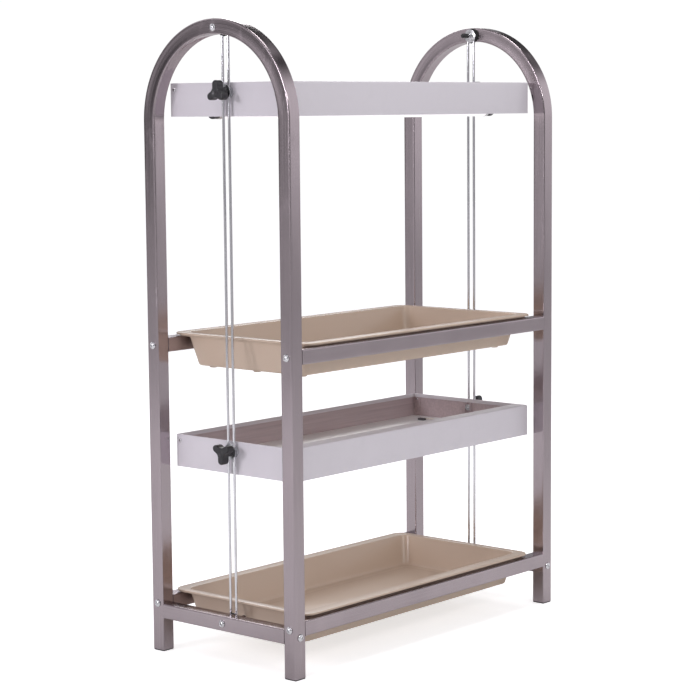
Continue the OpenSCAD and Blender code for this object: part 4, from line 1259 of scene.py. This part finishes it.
@dataclass
class Clamp:
    """One clamp at an end of a fixture: washer, screw and three-lobed grip.

    Attributes:
        tier, end: Where it is.
        lobe_r, reach: Radius of a lobe's round end, and of the grip over its lobes.
        hub_r, hub_h: Radius and depth of the hub under the lobes.
        lobe_h: Depth of the lobes.
        washer_d: Diameter of the washer.
        turn_deg: How far the first lobe stands from straight up.
    """

    tier: Tier
    end: End
    lobe_r: float = 6.0 * MM
    reach: float = 20.0 * MM
    hub_r: float = 8.5 * MM
    hub_h: float = 8.0 * MM
    lobe_h: float = 15.0 * MM
    washer_d: float = 27.0 * MM
    turn_deg: float = 0.0

    def node(self, part: str) -> str:
        """Name of this clamp's CAD node for a part."""
        return f"{self.tier.value}_{self.end.word}_{part}"

    def lobes(self, angle: Array) -> Array:
        """Radius of the grip's outline at each angle.

        Within a lobe, at angle a from its middle line, the side is lobe_r / sin(a) and the round
        end is c cos(a) + sqrt(lobe_r^2 - c^2 sin(a)^2), with c from the axis to the end's centre.
        The side holds where it is the nearer, and a power mean joins the lobe to the hub.
        """
        a = np.abs((angle + np.pi / 3) % (2 * np.pi / 3) - np.pi / 3)
        c = self.reach - self.lobe_r
        side = self.lobe_r / np.maximum(np.sin(a), 1e-3)
        tip = c * np.cos(a) + np.sqrt(np.maximum(self.lobe_r**2 - (c * np.sin(a)) ** 2, 0))
        lobe = np.where(side * np.cos(a) < c, side, np.minimum(tip, self.reach))
        hub = self.hub_r + 0.3 * MM
        return np.minimum((lobe**7 + hub**7) ** (1 / 7), self.reach)

    def grip(self) -> Patch:
        """The grip: stations of inset and height, from the dished middle of its face to its foot.

        Each station's radius is a share of the lobes' outline less an inset, plus a circle's.
        """
        angle = np.arange(120) * 2 * np.pi / 120
        outline = self.lobes(angle)
        top, under = self.hub_h + self.lobe_h, self.hub_h
        round_ = np.linspace(0, np.pi / 2, 6)
        edge, soft = 2.4 * MM, 1.8 * MM
        share = np.concatenate([[0, 0, 0, 0.25, 0.6], np.ones(12), [0.45, 0, 0, 0, 0]])
        circle = np.array([0, 3.2, 4.6, 4.2, 2.2] + [0] * 12 + [4.0, 7.4, 7.8, 8.4, 0]) * MM
        inset = np.concatenate([[0, 0, 0, 1.2 * MM, 1.6 * MM], edge * (1 - np.sin(round_)),
                                soft * (1 - np.cos(round_)), [soft / 2, 0, 0, 0, 0]])
        height = np.concatenate([[top - 1.0 * MM, top - 1.0 * MM, top - 0.2 * MM, top - 0.05 * MM, top],
                                 top - edge * (1 - np.cos(round_)), under + soft * (1 - np.sin(round_)),
                                 [under - 0.1 * MM, under - 0.5 * MM, 1.0 * MM, 0, 0]])
        radius = share[:, None] * (outline[None] - inset[:, None]) + circle[:, None]
        radius = np.maximum(radius, 0)
        level = height[:, None] + 0 * radius
        return Patch(np.stack([radius * np.cos(angle), radius * np.sin(angle), level], axis=-1))

    def build(self) -> None:
        """Builds and dresses the clamp."""
        side = self.end.value
        axis = X_AXIS * side
        z = middle(self.node("washer"))[2]
        ends = {part: sorted(abs(c[0]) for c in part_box(self.node(part)))
                for part in ("washer", "stud", "knob")}
        start = {part: (side * span[0], 0, z) for part, span in ends.items()}
        length = {part: span[1] - span[0] for part, span in ends.items()}
        washer = [moved(p, start["washer"], axis)
                  for p in HARDWARE.washer(self.washer_d, HARDWARE.hole_d, length["washer"], 0.35 * MM)]
        add_piece(self.node("clamp_washer"), washer, ZINC, self.node("washer"))
        screw = [moved(p, start["stud"], axis) for p in HARDWARE.screw(length["stud"])]
        add_piece(self.node("clamp_screw"), screw, ZINC, self.node("stud"))
        turn = np.radians(self.turn_deg)
        grip = moved(self.grip(), start["knob"], axis, np.array([0, np.sin(turn), np.cos(turn)]))
        add_piece(self.node("grip"), [grip], GRIP, self.node("knob"), 40)


# ---- trays ----


@dataclass
class Tray:
    """A moulded plant tray that hangs by its rim between two rails.

    Attributes:
        tier: Which storey it is on.
        rim_z, rim_t: Height of the rim's top over the rails, and its thickness.
        rim_corner: Corner radius of the rim.
        shoulder: How far the shoulder under the rim stands back from its edge.
        tub_x, tub_y: How far the tub's top stands in from the rim's edge, on X and on Y.
        draft: How much the tub narrows on each side, from its top to its floor.
        wall: Its wall.
        corner: Corner radius of the tub.
        foot_d, foot_h: Its feet.
        foot_inset: From the tub's top edge to a foot's edge.
    """

    tier: Tier
    rim_z: float = 6.4 * MM
    rim_t: float = 3.4 * MM
    rim_corner: float = 22.0 * MM
    shoulder: float = 7.0 * MM
    tub_x: float = 12.9 * MM
    tub_y: float = 19.9 * MM
    draft: float = 13.3 * MM
    wall: float = 2.5 * MM
    corner: float = 16.0 * MM
    foot_d: float = 16.0 * MM
    foot_h: float = 4.5 * MM
    foot_inset: float = 27.0 * MM

    def shell(self, half_x: float, half_y: float, top: float, floor: float) -> Patch:
        """The tray's skin: rounded rectangles from the middle of its underside to the floor inside.

        Each contour is a point of half length, half width, corner radius and height. The path
        through them has its corners rounded, so the mould's fillets run all the way round.

        Args:
            half_x, half_y: Half sizes of the rim.
            top: Height of the rim's top.
            floor: Height of the tub's underside.
        """
        rail = top - self.rim_z
        slope = self.draft / (top - floor)
        tub_x, tub_y = half_x - self.tub_x, half_y - self.tub_y
        rise = self.rim_z * slope
        inner = self.wall / np.cos(np.arctan(slope))
        floor_x, floor_y = tub_x - self.draft, tub_y - self.draft
        in_x, in_y = floor_x + self.wall * slope - inner, floor_y + self.wall * slope - inner
        back_x, back_y, back_corner = (v - self.shoulder for v in (half_x, half_y, self.rim_corner))
        contours = np.array([
            [floor_x - 22 * MM, floor_y - 22 * MM, 8 * MM, floor + 0.6 * MM],
            [floor_x - 16 * MM, floor_y - 16 * MM, 10 * MM, floor],
            [floor_x, floor_y, self.corner - 1 * MM, floor],
            [tub_x - rise, tub_y - rise, self.corner, rail],
            [back_x, back_y, back_corner, rail],
            [back_x, back_y, back_corner, top - self.rim_t],
            [half_x, half_y, self.rim_corner, top - self.rim_t],
            [half_x, half_y, self.rim_corner, top],
            [tub_x - inner, tub_y - inner, self.corner - 1 * MM, top],
            [in_x, in_y, self.corner - 3 * MM, floor + self.wall],
            [in_x - 20 * MM, in_y - 20 * MM, 8 * MM, floor + self.wall],
            [in_x - 24 * MM, in_y - 24 * MM, 7 * MM, floor + self.wall + 0.6 * MM],
        ])
        radii = np.array([3, 5, 1.2, 1.2, 0.5, 1.0, 1.5, 2.6, 8, 3]) * MM
        steps = 6
        path = filleted(contours, radii, steps)
        outline = rounded_rectangle(path[:, 0], path[:, 1], path[:, 2], 10, 6)
        height = np.broadcast_to(path[:, None, 3:], (*outline.shape[:2], 1))
        outer_corners = 8
        inside = np.arange(len(path)) > outer_corners * (steps + 1)
        # Painted light: the zone is 1 down to 4 mm under the rim's top, fades to 0 by 9 mm under it, and
        # stays at least 0.55 on the tub's inside wall and floor. The tray finish gives these faces its
        # lighter lit tone, and the outside of the tub its darker painted shade.
        painted_light_by_height = np.clip((path[:, 3] - (top - 9 * MM)) / (5 * MM), 0, 1)
        lip = np.where(inside, np.maximum(painted_light_by_height, 0.55), painted_light_by_height)
        return Patch(np.concatenate([outline, height], axis=2), caps=(True, True),
                     zone=np.broadcast_to(lip[:, None], outline.shape[:2]))

    def feet(self, half_x: float, half_y: float, floor: float) -> list[Patch]:
        """Six short feet under the floor: a tapered button with a rounded foot, turned about Z."""
        r = self.foot_d / 2
        x = half_x - self.tub_x - self.foot_inset - r
        y = half_y - self.tub_y - self.foot_inset - r
        root, tip = 0.5 * MM, -self.foot_h
        profile = filleted(np.array([[0, tip], [r - 1.5 * MM, tip], [r, root], [0, root]]),
                           [1.6 * MM, 0.1 * MM], 6)
        shape = knob_of_revolution(profile, 32)
        return [Patch(shape.points + np.array([i * x, j * y, floor]))
                for i in (-1, 1) for j in (-1, 0, 1)]

    def build(self) -> None:
        """Builds and dresses the tray."""
        node = f"{self.tier.value}_tray"
        low, high = (np.array(c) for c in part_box(node))
        half_x, half_y = (high[0] - low[0]) / 2, (high[1] - low[1]) / 2
        floor = low[2] + self.foot_h
        patches = [self.shell(half_x, half_y, high[2], floor), *self.feet(half_x, half_y, floor)]
        shift = np.array([(low[0] + high[0]) / 2, (low[1] + high[1]) / 2, 0])
        for patch in patches:
            patch.points = patch.points + shift
        add_piece(f"{self.tier.value}_plant_tray", patches, TRAY, node, 40)


# ---- studio ----


@dataclass
class Studio:
    """Plain pale floor, soft lights and the camera.

    Attributes:
        eye: Camera's place.
        yaw_deg, pitch_deg, roll_deg: Its heading from +X towards +Y, its tilt up and its roll.
        lens_mm: Its focal length on a 36 mm sensor.
        floor_glow, floor_seen: The floor's glow on the stand, and its glow as seen, which hides the horizon.
    """

    eye: tuple[float, float, float] = (-2.8502, -2.4327, 0.9362)
    yaw_deg: float = 40.724
    pitch_deg: float = -6.574
    roll_deg: float = -0.480
    lens_mm: float = 107.82
    floor_glow: float = 0.06
    floor_seen: float = 0.62

    def camera(self) -> None:
        """Camera from its heading, tilt and roll."""
        yaw, pitch, roll = np.radians([self.yaw_deg, self.pitch_deg, self.roll_deg])
        forward = np.array([np.cos(yaw) * np.cos(pitch), np.sin(yaw) * np.cos(pitch), np.sin(pitch)])
        level = np.array([np.sin(yaw), -np.cos(yaw), 0])
        above = np.cross(level, forward)
        right = level * np.cos(roll) + above * np.sin(roll)
        up = above * np.cos(roll) - level * np.sin(roll)
        data = bpy.data.cameras.new("camera")
        data.lens = self.lens_mm
        data.clip_end = 60
        camera = bpy.data.objects.new("camera", data)
        turn = np.eye(4)
        turn[:3, 0], turn[:3, 1], turn[:3, 2], turn[:3, 3] = right, up, -forward, self.eye
        camera.matrix_world = Matrix(turn.tolist())
        bpy.context.scene.collection.objects.link(camera)
        bpy.context.scene.camera = camera

    def floor(self) -> None:
        """A wide pale floor with a faint unevenness."""
        reach = 14.0
        grid = np.array([[[-reach, -reach, 0], [reach, -reach, 0]], [[-reach, reach, 0], [reach, reach, 0]]])
        mesh = bpy.data.meshes.new("floor")
        mesh.from_pydata(grid.reshape(-1, 3).tolist(), [], [[0, 1, 3, 2]])
        material = bpy.data.materials.new("studio_floor")
        graph = Graph(material)
        drift = graph.noise(graph.place((2, 2, 2)), 1.0, 2)
        seen = graph.add("ShaderNodeLightPath", {}).outputs["Is Camera Ray"]
        tone = graph.colour(graph.spread(drift, 0, 1), (0.84, 0.84, 0.84), (0.86, 0.86, 0.86))
        graph.surface(Base_Color=tone, Roughness=0.9, Emission_Color=(1, 1, 1, 1),
                      Emission_Strength=graph.spread(seen, self.floor_glow, self.floor_seen, 0, 1))
        mesh.materials.append(material)
        floor = bpy.data.objects.new("floor", mesh)
        bpy.context.scene.collection.objects.link(floor)

    def world(self) -> None:
        """White all round to look at. What lights and reflects is grey with soft bright and dark areas.

        The areas are one broad noise over the direction, so every side of the stand meets some of each.
        """
        world = bpy.data.worlds.new("studio")
        bpy.context.scene.world = world
        world.use_nodes = True
        tree = world.node_tree
        seen = tree.nodes["Background"]
        seen.inputs["Color"].default_value = (1, 1, 1, 1)
        seen.inputs["Strength"].default_value = 1.02
        where = tree.nodes.new("ShaderNodeTexCoord")
        noise = tree.nodes.new("ShaderNodeTexNoise")
        noise.inputs["Scale"].default_value = 1.7
        noise.inputs["Detail"].default_value = 1.0
        level = tree.nodes.new("ShaderNodeMapRange")
        for socket, value in (("From Min", 0.36), ("From Max", 0.62), ("To Min", 0.06), ("To Max", 1.05)):
            level.inputs[socket].default_value = value
        room = tree.nodes.new("ShaderNodeBackground")
        room.inputs["Color"].default_value = (0.98, 0.96, 1.0, 1)
        path = tree.nodes.new("ShaderNodeLightPath")
        pick = tree.nodes.new("ShaderNodeMixShader")
        for source, target in ((where.outputs["Generated"], noise.inputs["Vector"]),
                               (noise.outputs["Fac"], level.inputs["Value"]),
                               (level.outputs["Result"], room.inputs["Strength"]),
                               (path.outputs["Is Camera Ray"], pick.inputs["Fac"]),
                               (room.outputs["Background"], pick.inputs[1]),
                               (seen.outputs["Background"], pick.inputs[2]),
                               (pick.outputs["Shader"], tree.nodes["World Output"].inputs["Surface"])):
            tree.links.new(source, target)

    def light(self, name: str, place: Sequence[float], aim: Sequence[float], size: float, power: float,
              colour: Sequence[float] = (1, 1, 1)) -> None:
        """A square soft light that points from its place at an aim."""
        data = bpy.data.lights.new(name, "AREA")
        data.size = size
        data.energy = power
        data.color = colour
        lamp = bpy.data.objects.new(name, data)
        back = unit(np.array(place, float) - np.array(aim, float))
        side = unit(np.cross(Y_AXIS if abs(back[2]) > 0.95 else Z_AXIS, back))
        turn = np.eye(4)
        turn[:3, 0], turn[:3, 1], turn[:3, 2], turn[:3, 3] = side, np.cross(back, side), back, place
        lamp.matrix_world = Matrix(turn.tolist())
        bpy.context.scene.collection.objects.link(lamp)

    def build(self) -> None:
        """Sets the world, the floor, the lights and the camera."""
        self.world()
        bpy.context.scene.view_settings.view_transform = "Standard"
        self.floor()
        self.light("key", (-1.2, -3.4, 2.4), (0, 0, 0.6), 0.5, 20)
        self.light("side", (-3.6, 0.9, 1.5), (0, 0, 0.6), 0.8, 36, (0.96, 0.93, 1.0))
        self.light("top", (0.3, -0.2, 3.4), (0, 0, 0.5), 1.0, 28)
        self.light("rim", (2.6, 2.4, 2.2), (0, 0, 0.7), 1.2, 18)
        self.camera()


def main() -> None:
    """Builds the stand, one sub-assembly after another, then the studio."""
    logging.basicConfig(level=logging.INFO, format="%(name)s: %(message)s")
    Studio().build()
    TubeFrame().build()
    GuideRods().build()
    for tier in Tier:
        Fixture(tier).build()
        for end in End:
            clamp = Clamp(tier, end)
            if tier is Tier.LOWER and end is End.LEFT:
                clamp.turn_deg = 60.0
            clamp.build()
        Tray(tier).build()


if __name__ == "__main__":
    main()
